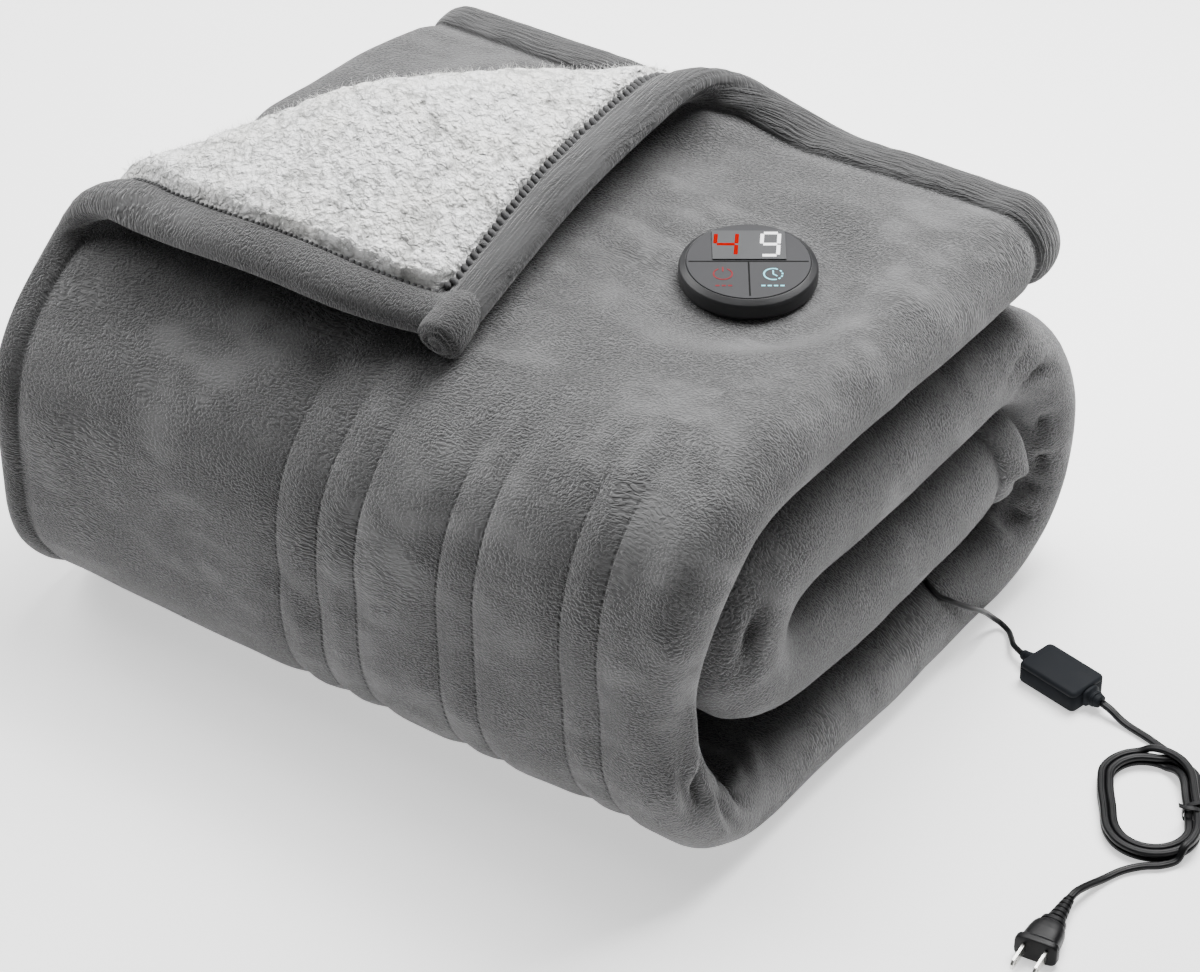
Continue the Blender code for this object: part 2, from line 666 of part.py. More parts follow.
def build_controller_display(collection):
    """The display window: a thin plate on the face, cut to the face's curve along its back edge."""
    bottom = PUCK_HEIGHT - FACE_SINK + FACE_THICK + 2 * GAP
    outline = [(DISPLAY_LEFT, DISPLAY_FRONT), (DISPLAY_RIGHT, DISPLAY_FRONT)]
    outline += [(DISPLAY_RIGHT, DISPLAY_BACK - 0.0006), (DISPLAY_RIGHT - 0.0006, DISPLAY_BACK)]
    outline += [(DISPLAY_LEFT + 0.0006, DISPLAY_BACK), (DISPLAY_LEFT, DISPLAY_BACK - 0.0006)]
    mesh = bpy.data.meshes.new("controller_display")
    bm = bmesh.new()
    face = bm.faces.new([bm.verts.new((x, y, bottom)) for x, y in outline])
    top = bmesh.ops.extrude_face_region(bm, geom=[face])["geom"]
    bmesh.ops.translate(bm, vec=(0, 0, DISPLAY_THICK), verts=[v for v in top if isinstance(v, bmesh.types.BMVert)])
    bmesh.ops.recalc_face_normals(bm, faces=bm.faces)
    bm.to_mesh(mesh)
    bm.free()
    obj = bpy.data.objects.new("controller_display", mesh)
    obj.matrix_world = controller_place()
    collection.objects.link(obj)
    return obj


# ---- the cord set


def build_adapter(collection):
    """The inline adapter: a box with rounded upright edges, and a round gland at each end."""
    place = placed(ADAPTER_AT, ADAPTER_HEADING)
    half = (0.5 * ADAPTER_LONG, 0.5 * ADAPTER_WIDE, 0.5 * ADAPTER_HIGH)
    mesh = bpy.data.meshes.new("adapter_box")
    bm = bmesh.new()
    bmesh.ops.create_cube(bm, size=1.0)
    bmesh.ops.scale(bm, vec=[2 * h for h in half], verts=bm.verts)
    bmesh.ops.translate(bm, vec=(0, 0, half[2]), verts=bm.verts)
    bm.to_mesh(mesh)
    bm.free()
    box = bpy.data.objects.new("adapter_box", mesh)
    box.matrix_world = place
    collection.objects.link(box)
    modify(box, "BEVEL", width=ADAPTER_ROUND, segments=3, limit_method="ANGLE")
    middle = ADAPTER_MIDDLE
    inlet = -half[0] - GAP
    gland_in = (
        (inlet - 0.0080, 0.0026, 0.0026, 2, middle),
        (inlet - 0.0076, 0.0031, 0.0031, 2, middle),
        (inlet - 0.0012, 0.0040, 0.0040, 2, middle),
        (inlet, 0.0044, 0.0044, 2, middle),
    )
    outlet = half[0] + GAP
    gland_out = (
        (outlet, 0.0064, 0.0056, 2.6, middle),
        (outlet + 0.0020, 0.0062, 0.0054, 2.6, middle),
        (outlet + 0.0030, 0.0052, 0.0047, 2.2, middle),
        (outlet + 0.0086, 0.0040, 0.0037, 2, middle),
        (outlet + 0.0092, 0.0033, 0.0030, 2, middle),
    )
    return (
        box,
        loft("adapter_gland_in", gland_in, place, collection, 16),
        loft("adapter_gland_out", gland_out, place, collection, 16),
    )


def stadium(count):
    """Points round the coil's middle line: two half circles and the straight runs between them."""
    turn = np.linspace(0.0, 2 * math.pi, count, endpoint=False) + math.pi / count
    u = COIL_BEND * np.cos(turn)
    v = COIL_BEND * np.sin(turn) + COIL_STRAIGHT * np.sign(np.sin(turn)) * smooth_step(3 * np.abs(np.sin(turn)))
    along_axis = np.array((math.cos(COIL_HEADING), math.sin(COIL_HEADING)))
    aside = np.array((-along_axis[1], along_axis[0]))
    flat = np.array(COIL_AT) + v[:, None] * along_axis + u[:, None] * aside
    return np.column_stack([flat, np.full(count, COIL_LIFT + 0.5 * COIL_BUNDLE)])


def build_tie(collection):
    """The twist tie: a flat strip once round the bundle, its two ends crossing and standing free."""
    path = smooth_path([(r, z, t) for r, z, t in TIE_PATH], 34)
    out = np.gradient(path[:, :2], axis=0)
    out = np.stack([-out[:, 1], out[:, 0]], axis=1) / np.linalg.norm(out, axis=1)[:, None]
    across = np.array((math.cos(TIE_TURN), math.sin(TIE_TURN), 0.0))
    onward = np.array((-across[1], across[0], 0.0))
    upward = np.array((0.0, 0.0, 1.0))
    grids = []
    for side in (0.5, -0.5):
        r, z = (path[:, :2] + side * TIE_THICK * out).T
        rows = [
            np.array((*TIE_AT, 0.0)) + r[:, None] * across + z[:, None] * upward + (path[:, 2:] + lean) * onward
            for lean in (-0.5 * TIE_WIDE, 0.5 * TIE_WIDE)
        ]
        grids.append(np.stack(rows, axis=1))
    points, faces = closed_sheet(*grids)
    return node("tie", points, faces, collection)


def build_plug(collection):
    """The moulded plug: a tapered relief, a domed body that widens to a flange, and two flat blades."""
    place = placed(PLUG_AT, PLUG_HEADING)
    z = PLUG_MIDDLE
    relief = (
        (0.0000, 0.0030, 0.0022, 2.0, z),
        (0.0010, 0.0036, 0.0029, 2.0, z),
        (0.0175, 0.0054, 0.0043, 2.2, z),
        (0.0197, 0.0056, 0.0045, 2.2, z),
    )
    body = (
        (0.0200, 0.0066, 0.0050, 2.4, z),
        (0.0206, 0.0072, 0.0056, 2.4, z),
        (0.0236, 0.0074, 0.0058, 2.5, z),
        (0.0250, 0.0084, 0.0062, 2.8, z),
        (0.0320, 0.0100, 0.0066, 3.2, z),
        (0.0405, 0.0106, 0.0067, 3.6, z),
        (0.0415, 0.0122, 0.0074, 4.2, z),
        (0.0455, 0.0124, 0.0075, 4.2, z),
        (0.0462, 0.0118, 0.0069, 4.2, z),
    )
    made = [
        loft("plug_relief", relief, place, collection, 20),
        loft("plug_body", body, place, collection, 28),
    ]
    for name, side in (("plug_blade_left", 1), ("plug_blade_right", -1)):
        made.append(build_blade(name, side, place, collection))
    return made


def build_blade(name, side, place, collection):
    """One flat blade with a round hole near its chamfered tip."""
    front = 0.0462 + GAP
    half_high, half_thick = 0.5 * BLADE_HIGH, 0.5 * BLADE_THICK
    outline = [
        (front, -half_high),
        (front + BLADE_LONG - 0.0022, -half_high),
        (front + BLADE_LONG, -half_high + 0.0016),
        (front + BLADE_LONG, half_high - 0.0016),
        (front + BLADE_LONG - 0.0022, half_high),
        (front, half_high),
    ]
    bm = bmesh.new()
    face = bm.faces.new([bm.verts.new((t, -half_thick, PLUG_MIDDLE + h)) for t, h in outline])
    made = bmesh.ops.extrude_face_region(bm, geom=[face])["geom"]
    far = [v for v in made if isinstance(v, bmesh.types.BMVert)]
    bmesh.ops.translate(bm, vec=(0, BLADE_THICK, 0), verts=far)
    bmesh.ops.translate(bm, vec=(0, side * 0.5 * BLADE_APART, 0), verts=bm.verts)
    bmesh.ops.recalc_face_normals(bm, faces=bm.faces)
    mesh = bpy.data.meshes.new(name)
    bm.to_mesh(mesh)
    bm.free()
    obj = bpy.data.objects.new(name, mesh)
    obj.matrix_world = place
    collection.objects.link(obj)
    drill_mesh = bpy.data.meshes.new(name + "_drill")
    bm = bmesh.new()
    turn = Matrix.Translation((front + BLADE_LONG - 0.0042, side * 0.5 * BLADE_APART, PLUG_MIDDLE))
    bmesh.ops.create_cone(
        bm,
        cap_ends=True,
        segments=20,
        radius1=0.5 * BLADE_HOLE,
        radius2=0.5 * BLADE_HOLE,
        depth=0.01,
        matrix=turn @ Matrix.Rotation(math.pi / 2, 4, "X"),
    )
    bm.to_mesh(drill_mesh)
    bm.free()
    drill = bpy.data.objects.new(name + "_drill", drill_mesh)
    drill.matrix_world = place
    bpy.data.collections["cutters"].objects.link(drill)
    drill.hide_render = True
    drill.display_type = "WIRE"
    modify(obj, "BOOLEAN", operation="DIFFERENCE", object=drill, solver="EXACT")
    return obj


def build_cords(collection):
    lead = tube("cord_lead", smooth_path(LEAD_ROUTE, 62), LEAD_DIAMETER, collection)
    mains_a = tube("cord_mains_a", smooth_path(MAINS_A_ROUTE, 40), MAINS_DIAMETER, collection)
    mains_b = tube("cord_mains_b", smooth_path(MAINS_B_ROUTE, 44), MAINS_DIAMETER, collection)
    coil = tube("cord_coil", stadium(44), COIL_BUNDLE, collection, closed=True, resolution=3)
    return lead, mains_a, mains_b, coil


# ---- materials


def material(name, colour, roughness, metallic=0.0):
    made = bpy.data.materials.new(name)
    made.use_nodes = True
    shader = made.node_tree.nodes["Principled BSDF"]
    shader.inputs["Base Color"].default_value = (*colour, 1.0)
    shader.inputs["Roughness"].default_value = roughness
    shader.inputs["Metallic"].default_value = metallic
    return made


def grey_plush():
    return material("grey_plush", (0.190, 0.190, 0.192), 0.92)


def white_sherpa():
    return material("white_sherpa", (0.80, 0.79, 0.765), 0.95)


def housing_black():
    return material("housing_black", (0.016, 0.016, 0.018), 0.42)


def face_grey():
    return material("face_grey", (0.150, 0.150, 0.153), 0.45)


def display_grey():
    return material("display_grey", (0.235, 0.238, 0.245), 0.25)


def cord_black():
    return material("cord_black", (0.014, 0.014, 0.016), 0.55)


def adapter_black():
    return material("adapter_black", (0.030, 0.033, 0.037), 0.48)


def tie_black():
    return material("tie_black", (0.012, 0.012, 0.013), 0.35)


def blade_metal():
    return material("blade_metal", (0.62, 0.60, 0.57), 0.28, 1.0)


def paint(objects, made):
    for obj in objects:
        obj.data.materials.clear()
        obj.data.materials.append(made)


def collection_named(name, hidden=False):
    made = bpy.data.collections.new(name)
    bpy.context.scene.collection.children.link(made)
    made.hide_render = hidden
    return made


def main():
    for obj in list(bpy.data.objects):
        bpy.data.objects.remove(obj, do_unlink=True)
    whole = collection_named("heated_blanket")
    collection_named("cutters", hidden=True)

    blanket = build_blanket(whole)
    lining = build_lining(whole)
    housing = build_controller_housing(whole)
    face = build_controller_face(whole)
    display = build_controller_display(whole)
    adapter = build_adapter(whole)
    cords = build_cords(whole)
    tie = build_tie(whole)
    relief, body, *blades = build_plug(whole)

    paint([blanket], grey_plush())
    paint([lining], white_sherpa())
    paint([housing], housing_black())
    paint([face], face_grey())
    paint([display], display_grey())
    paint([*cords, relief, body], cord_black())
    paint(adapter, adapter_black())
    paint([tie], tie_black())
    paint(blades, blade_metal())

    for obj in bpy.data.objects:
        obj.matrix_world = Matrix.Translation(CENTRE_SHIFT) @ obj.matrix_world


main()
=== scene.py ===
"""The looks of a folded heated blanket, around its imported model.

The cloth is one sheet: a middle surface that is folded in thirds and rolled, with a thickness that
swells in the hems. SHIFT is the step from the sheet's own coordinates to the model's.
"""

import math
from collections import namedtuple

import bpy
import numpy as np
from mathutils import Matrix, Vector


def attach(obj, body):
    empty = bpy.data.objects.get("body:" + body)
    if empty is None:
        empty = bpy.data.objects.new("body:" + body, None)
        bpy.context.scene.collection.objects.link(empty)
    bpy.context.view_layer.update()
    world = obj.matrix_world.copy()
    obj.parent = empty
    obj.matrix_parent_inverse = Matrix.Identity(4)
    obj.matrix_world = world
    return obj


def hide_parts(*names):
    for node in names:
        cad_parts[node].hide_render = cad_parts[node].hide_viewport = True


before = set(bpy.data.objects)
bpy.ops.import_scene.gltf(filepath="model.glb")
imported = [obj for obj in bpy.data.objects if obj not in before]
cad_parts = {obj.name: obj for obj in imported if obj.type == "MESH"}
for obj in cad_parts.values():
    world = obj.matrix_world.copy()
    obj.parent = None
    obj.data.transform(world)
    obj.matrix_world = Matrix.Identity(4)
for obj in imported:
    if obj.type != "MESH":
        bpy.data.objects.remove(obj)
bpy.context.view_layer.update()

SHIFT = np.array((-0.00395, 0.00783, 0.0))

# ---- the photograph's camera
PHOTO_WIDTH = 1200
FOCAL_PX = 4414.0
SENSOR = 36.0
VIEW_ANGLES = (35.6, 36.955)  # azimuth and elevation in degrees
VIEW_TARGET = (0.05415, -0.01567, 0.0963)
VIEW_DISTANCE = 2.504

# ---- light and floor
SKY_STRENGTH = 0.06
FLOOR_REACH = 8.0
FLOOR_GLOW = 0.85
FLOOR_WHITE = (0.93, 0.93, 0.93)
LIGHT_TARGET = (0.0, 0.0, 0.1)
Lamp = namedtuple("Lamp", "name side power azimuth elevation distance")
LAMPS = (
    Lamp("key", 1.3, 50.0, -78.0, 38.0, 2.6),
    Lamp("back", 0.8, 40.0, 160.0, 60.0, 1.25),
    Lamp("overhead", 1.2, 40.0, 200.0, 76.0, 2.0),
    Lamp("side", 1.4, 3.0, 75.0, 25.0, 2.8),
    Lamp("left", 1.0, 12.0, 262.0, 45.0, 2.2),
)

# ---- the blanket, in metres
STRIP_LEFT = -0.2285
STRIP_RIGHT = 0.2478
PLY_SHARE = 0.29  # one ply's thickness as a share of the strip's: the rest is air between plies
FOLD_INSET = 0.036  # how far the lower plies' left fold lies inside the top ply's hem
FOLD_INSET_BACK = 0.020  # and how much further at the back end
FRONT_TUCK = (0.013, 0.435, 0.060)  # the right fold draws in low on the front: how far, where and how widely
HEM_WIDTH = 0.026  # the hems are drawn finer here than on the coarse solid
END_TRIM = 0.004  # the end hem ends this much sooner
SIDE_TRIM = 0.004  # and the side hem
SIDE_NARROW = 1.49  # the side hem is narrower than the end hem by this
HEM_PUFF = 1.32  # the hem's thickness, in plies
HEM_NIP = 0.62  # the thickness under the stitches beside a hem, in plies
EDGE_THIN = 0.12  # the thickness left at a free edge, in plies
CORNER_ROUND = 0.022
FLOOR_SNAP = 0.0012

# The middle of the strip from the inner end outwards: a corner of its line, how wide the line
# bends there, and how thick the three plies are there.
Turn = namedtuple("Turn", "run y z bend thick")
ROLL = (
    Turn("inner end", 0.132, 0.107, 0.0, 0.064),
    Turn("lower arm", 0.070, 0.100, 0.20, 0.070),
    Turn("lower arm", -0.040, 0.097, 0.20, 0.071),
    Turn("turn back", -0.132, 0.099, 0.0355, 0.070),
    Turn("turn back", -0.132, 0.170, 0.0360, 0.070),
    Turn("upper arm", 0.020, 0.171, 0.30, 0.071),
    Turn("upper arm", 0.085, 0.172, 0.12, 0.066),
    Turn("back", 0.174, 0.172, 0.070, 0.056),
    Turn("back", 0.174, 0.0290, 0.055, 0.050),
    Turn("bottom", 0.080, 0.0290, 0.50, 0.058),
    Turn("bottom", -0.080, 0.0270, 0.50, 0.053),
    Turn("front", -0.193, 0.0208, 0.068, 0.041),
    Turn("front", -0.193, 0.2350, 0.072, 0.049),
    Turn("top", -0.085, 0.240, 0.20, 0.050),
    Turn("top", 0.060, 0.238, 0.50, 0.050),
    Turn("outer end", 0.157, 0.242, 0.0, 0.050),
)
PATH_STEP = 0.002
PATH_SOFTEN = 9  # how many steps each corner of the line is averaged over

# The pack sags towards its left end, less so at the back, where the loose plies stand up.
SAG_MIDDLE = (0.22, 0.20, 0.11)  # where the middle's starts, how far it takes and what share it is
SAG_LEFT = (-0.05, 0.19, 0.09)
SAG_BACK = 0.25
SAG_FRONT_Y = -0.20
SAG_BACK_Y = 0.0
FLARE = 0.014  # how far the loose left edge swings out at the front's top

# ---- the turned-back corner of the top ply
CREASE_LEFT = 0.3215  # from the corner to the crease along the side hem
CREASE_BACK = 0.3540  # and along the end hem
CREST = (0.028, 0.023)  # the soft bend over the crease is half an ellipse: its half length and height
CREST_SIDE_HEM = (0.022, 0.015)  # lower at the hems
CREST_END_HEM = (0.032, 0.022)
CREST_EASE = 0.12
FLAP_LOW = 0.0235  # mid ply to mid ply where the flap lies down
FLAP_SETTLE = 0.15
OPENED_LIFT = 0.015  # how far the middle ply swells where the top ply is turned off it
OPENED_START = 0.025
FLAP_TURN = 0.13  # how far the corner is swung round the vertical, in radians
FLAP_LIFT = 0.013  # and how far it is lifted
FLAP_LIFT_EASE = (0.03, 0.09)  # where the lift starts, from the end hem, and how far it takes
FLAP_PIVOT = (0.027, -0.010)
FLAP_REACH = 0.10  # how far past the crease the swing has grown to its whole

# ---- rows of stitches across the front: where each lies, from the middle of the strip
CHANNELS = (-0.022, 0.006, 0.032, 0.087, 0.111, 0.168, 0.192)
CHANNEL_DEPTH = 0.0028
CHANNEL_WIDTH = 0.0085
CHANNEL_TOP_Y = -0.165
CHANNEL_FADE = 0.05

# ---- controller
PUCK_AT = (0.137, 0.004)
PUCK_RADIUS = 0.038
PUCK_HEIGHT = 0.0130
PUCK_MARGIN = 0.014  # how far past its rim the cloth stays flat
PUCK_SEAT_Z = 0.2530
PUCK_TILT = math.radians(2.2)
PUCK_TURN = math.radians(35.6)
FACE_RADIUS = 0.0337
FACE_THICK = 0.0012
FACE_SINK = 0.0012  # the recess in the housing's top
DISPLAY_LEFT = -0.0195
DISPLAY_RIGHT = 0.0205
DISPLAY_FRONT = 0.0006
DISPLAY_BACK = 0.0268
DISPLAY_THICK = 0.0005
GAP = 0.0003  # between pieces that a maker would fit together
CLEAR = 0.0003  # between a hard piece and what it lies on

# ---- the cord set; each route starts at the end nearer the blanket
LEAD_DIAMETER = 0.0034
LEAD_ROUTE = (
    (0.2296, 0.0532, 0.0571),
    (0.2348, 0.0520, 0.0546),
    (0.2394, 0.0524, 0.0515),
    (0.2440, 0.0560, 0.0482),
    (0.2474, 0.0622, 0.0427),
    (0.2500, 0.0700, 0.0365),
    (0.2508, 0.0800, 0.0285),
    (0.2494, 0.0905, 0.0190),
    (0.2492, 0.0990, 0.0100),
    (0.2525, 0.1035, 0.0042),
    (0.2578, 0.1020, 0.0030),
    (0.2640, 0.0955, 0.0046),
    (0.2702, 0.0880, 0.0067),
    (0.2780, 0.0838, 0.0073),
)
ADAPTER_AT = (0.3075, 0.0780, 0.0003)
ADAPTER_HEADING = -11.0
ADAPTER_ROUND = 0.0022
ADAPTER_MIDDLE = 0.0070
MAINS_A_ROUTE = (
    (0.3380, 0.0720, 0.0073),
    (0.3440, 0.0709, 0.0063),
    (0.3520, 0.0693, 0.0036),
    (0.3736, 0.0652, 0.0023),
    (0.3963, 0.0585, 0.0023),
    (0.4092, 0.0534, 0.0024),
    (0.4163, 0.0456, 0.0028),
    (0.4213, 0.0367, 0.0034),
)
COIL_AT = (0.4015, 0.0145)
COIL_HEADING = -54.4
COIL_BEND = 0.0229
COIL_STRAIGHT = 0.0173
MAINS_B_ROUTE = (
    (0.4362, -0.0149, 0.0034),
    (0.4312, -0.0227, 0.0026),
    (0.4238, -0.0287, 0.0024),
    (0.4166, -0.0375, 0.0023),
    (0.4110, -0.0520, 0.0030),
    (0.4080, -0.0655, 0.0060),
    (0.4070, -0.0735, 0.0076),
    (0.4070, -0.0799, 0.0078),
)
TIE_AT = (0.4263, 0.0192)
TIE_TURN = 35.6
TIE_WIDE = 0.0034
TIE_THICK = 0.0006
# The tie's path round the bundle: across it, up, and along it.
TIE_PATH = (
    (-0.0085, 0.0152, -0.0022),
    (-0.0040, 0.0134, -0.0022),
    (0.0008, 0.0125, -0.0021),
    (0.0038, 0.0106, -0.0018),
    (0.0054, 0.0080, -0.0012),
    (0.0053, 0.0040, -0.0008),
    (0.0026, 0.0010, -0.0004),
    (0.0000, 0.0006, 0.0000),
    (-0.0026, 0.0010, 0.0004),
    (-0.0053, 0.0040, 0.0008),
    (-0.0054, 0.0080, 0.0012),
    (-0.0034, 0.0109, 0.0018),
    (0.0002, 0.0126, 0.0021),
    (0.0040, 0.0137, 0.0022),
    (0.0085, 0.0156, 0.0022),
)
PLUG_AT = (0.4071, -0.0805, 0.0)
PLUG_HEADING = -82.2
PLUG_MIDDLE = 0.0078

ADAPTER_SIZE = (0.042, 0.027, 0.014)
ADAPTER_CORNER = 0.0034
ADAPTER_SEAM = 0.0108  # the height of the lid's seam
SEAM_BEAD = (0.00035, 0.0004)  # how far the seam's groove goes in, and half its height

# The glands from the case's end, and the plug's body from the relief's start. Of each: distance
# along, half width, half height and the power of its superellipse, or distance and radius alone.
INLET = (
    (-0.0080, 0.0022),
    (-0.0078, 0.0027),
    (-0.0072, 0.0030),
    (-0.0052, 0.0032),
    (-0.0050, 0.0029),
    (-0.0042, 0.0030),
    (-0.0040, 0.0035),
    (-0.0014, 0.0039),
    (-0.0010, 0.0044),
    (0.0, 0.0044),
)
OUTLET = (
    (0.0, 0.0064, 0.0056, 2.8),
    (0.0016, 0.0064, 0.0056, 2.8),
    (0.0021, 0.0060, 0.0052, 2.6),
    (0.0026, 0.0052, 0.0046, 2.3),
    (0.0034, 0.0046, 0.0041, 2.2),
    (0.0042, 0.0051, 0.0046, 2.2),
    (0.0054, 0.0050, 0.0045, 2.2),
    (0.0058, 0.0043, 0.0038, 2.2),
    (0.0064, 0.0043, 0.0038, 2.2),
    (0.0068, 0.0045, 0.0040, 2.2),
    (0.0086, 0.0040, 0.0034, 2.2),
    (0.0092, 0.0030, 0.0024, 2.2),
)
PLUG_BODY = (
    (0.0200, 0.0058, 0.0042, 2.4),
    (0.0202, 0.0068, 0.0052, 2.4),
    (0.0208, 0.0072, 0.0056, 2.4),
    (0.0232, 0.0074, 0.0058, 2.5),
    (0.0238, 0.0068, 0.0053, 2.5),
    (0.0244, 0.0070, 0.0055, 2.6),
    (0.0256, 0.0086, 0.0062, 2.8),
    (0.0280, 0.0095, 0.0065, 3.0),
    (0.0320, 0.0101, 0.0067, 3.2),
    (0.0380, 0.0105, 0.0067, 3.4),
    (0.0405, 0.0107, 0.0067, 3.6),
    (0.0412, 0.0112, 0.0069, 4.0),
    (0.0416, 0.0121, 0.0073, 4.2),
    (0.0424, 0.0124, 0.0075, 4.2),
    (0.0450, 0.0124, 0.0075, 4.2),
    (0.0459, 0.0121, 0.0072, 4.2),
    (0.0462, 0.0112, 0.0064, 4.2),
)
RELIEF_LONG = 0.0197
RELIEF_WIDE = (0.0030, 0.0026)  # half its width at the cord, and how much it gains
RELIEF_HIGH = (0.0023, 0.0022)
RELIEF_RIBS = 5
RIB_DEPTH = 0.20  # as a share of the relief's width

# The mains cord is a flat twin. Its coil's turns lie two side by side, and then on top of those.
CORD_WIDE = 0.0046
CORD_HIGH = 0.0034
CORD_GROOVE = 0.26
COIL_TURNS = 4
COIL_FIRST = 12.0  # degrees: where the cord joins the coil
COIL_EXTRA = 48.0  # and how much further than whole turns it leaves
COIL_STEP = 25.0
COIL_PITCH = 0.0047
COIL_FLOOR = 0.0032
COIL_RISE = 0.00345
CORD_STEP = 0.0015  # between the rings of the lead
MAINS_STEP = 0.0018
TIE_STEP = 0.0004

# ---- what is lit or printed on the controller
LEGEND_Z = PUCK_HEIGHT - FACE_SINK + FACE_THICK + GAP + 0.00002
INK = 0.0001  # how thick the print is
LIT_RISE = 0.00015  # how far the lit segments stand over the display
NUMERAL_LEAN = 0.07
NUMERAL_HIGH = 0.0224
NUMERAL_Y = 0.0140
Numeral = namedtuple("Numeral", "segments x wide stroke")
LEVEL = Numeral("fgbc", -0.0120, 0.0136, 0.0021)
HOURS = Numeral("afgbcd", 0.0121, 0.0112, 0.0020)
DIVIDERS = (((-0.0325, -0.0006), (0.0325, -0.0006)), ((0.0, -0.0010), (0.0, -0.0318)))
DIVIDER_WIDE = 0.0009
SYMBOL_RADIUS = 0.0050
SYMBOL_LINE = 0.0008
POWER_AT = (-0.0141, -0.0120)
POWER_ARC = (118, 422)  # degrees: the ring is open at its top
POWER_BAR = (0.0022, 0.0062)
CLOCK_AT = (0.0130, -0.0122)
CLOCK_LINE = 0.0009
CLOCK_ARC = (60, 290)
CLOCK_TICKS = (-58, -30, -2, 26)  # where each short arc starts, and each is TICK_ARC long
TICK_ARC = 16
CLOCK_HANDS = ((0.0, 0.0034), (0.0022, -0.0018))
DASH_Y = -0.0226
DASH_PITCH = 0.0034
DASH_LONG, DASH_WIDE = 0.0022, 0.0011
LIT_RED = (0.72, 0.0, 0.0)
LIT_WHITE = (0.95, 0.95, 0.95)
RED_GLOW, WHITE_GLOW = 1.0, 3.5
UNLIT_SHARE = 0.95  # how far a lit segment's own colour is darkened: it shines and does not reflect
SYMBOL_RED = (0.15, 0.016, 0.020)
SYMBOL_CYAN = (0.20, 0.56, 0.66)
SYMBOL_RED_GLOW, SYMBOL_CYAN_GLOW = 0.25, 0.3
DIVIDER_GREY = (0.006, 0.006, 0.006)

# ---- the cloth's finer form
HEM_STEPS = 15
TOP_STEPS = 116
Lump = namedtuple("Lump", "rise size seed")
LUMPS = (Lump(0.0018, 0.090, 3), Lump(0.0010, 0.038, 4))
SMALL_LUMP = Lump(0.00035, 0.016, 5)
HEM_PUCKER = Lump(0.0009, 0.022, 6)
HEM_STRETCH = np.array((2.6, 1.0, 1.0))  # the puckers are narrower along X than they are long
INNER_SHARE = 0.4  # how much of the outer side's unevenness the inner side has
CREASE_SHADE_FULL = 0.006  # the depth at which a crease's painted shade is as dark as it gets
STITCH_PITCH = 0.0044
ROLL_RADIUS = 0.0135  # of the end hem's rolled end, at the turned-back corner
ROLL_COIL = 0.0058
ROLL_GROOVE = (0.0022, 0.0011)  # how deep the coil's groove is, and how wide
ROLL_CROWN = 0.0025
ROLL_LUMP = 0.05
ROLL_BODY = ((0.0, 0.50), (0.005, 0.72), (0.012, 0.90), (0.022, 0.985), (0.030, 1.0), (0.0335, 0.985))
ROLL_FACE = 0.037  # how far along its face lies
ROLL_FACE_SHARE = (0.82, 0.02)  # the face's first and last ring, as shares of the radius
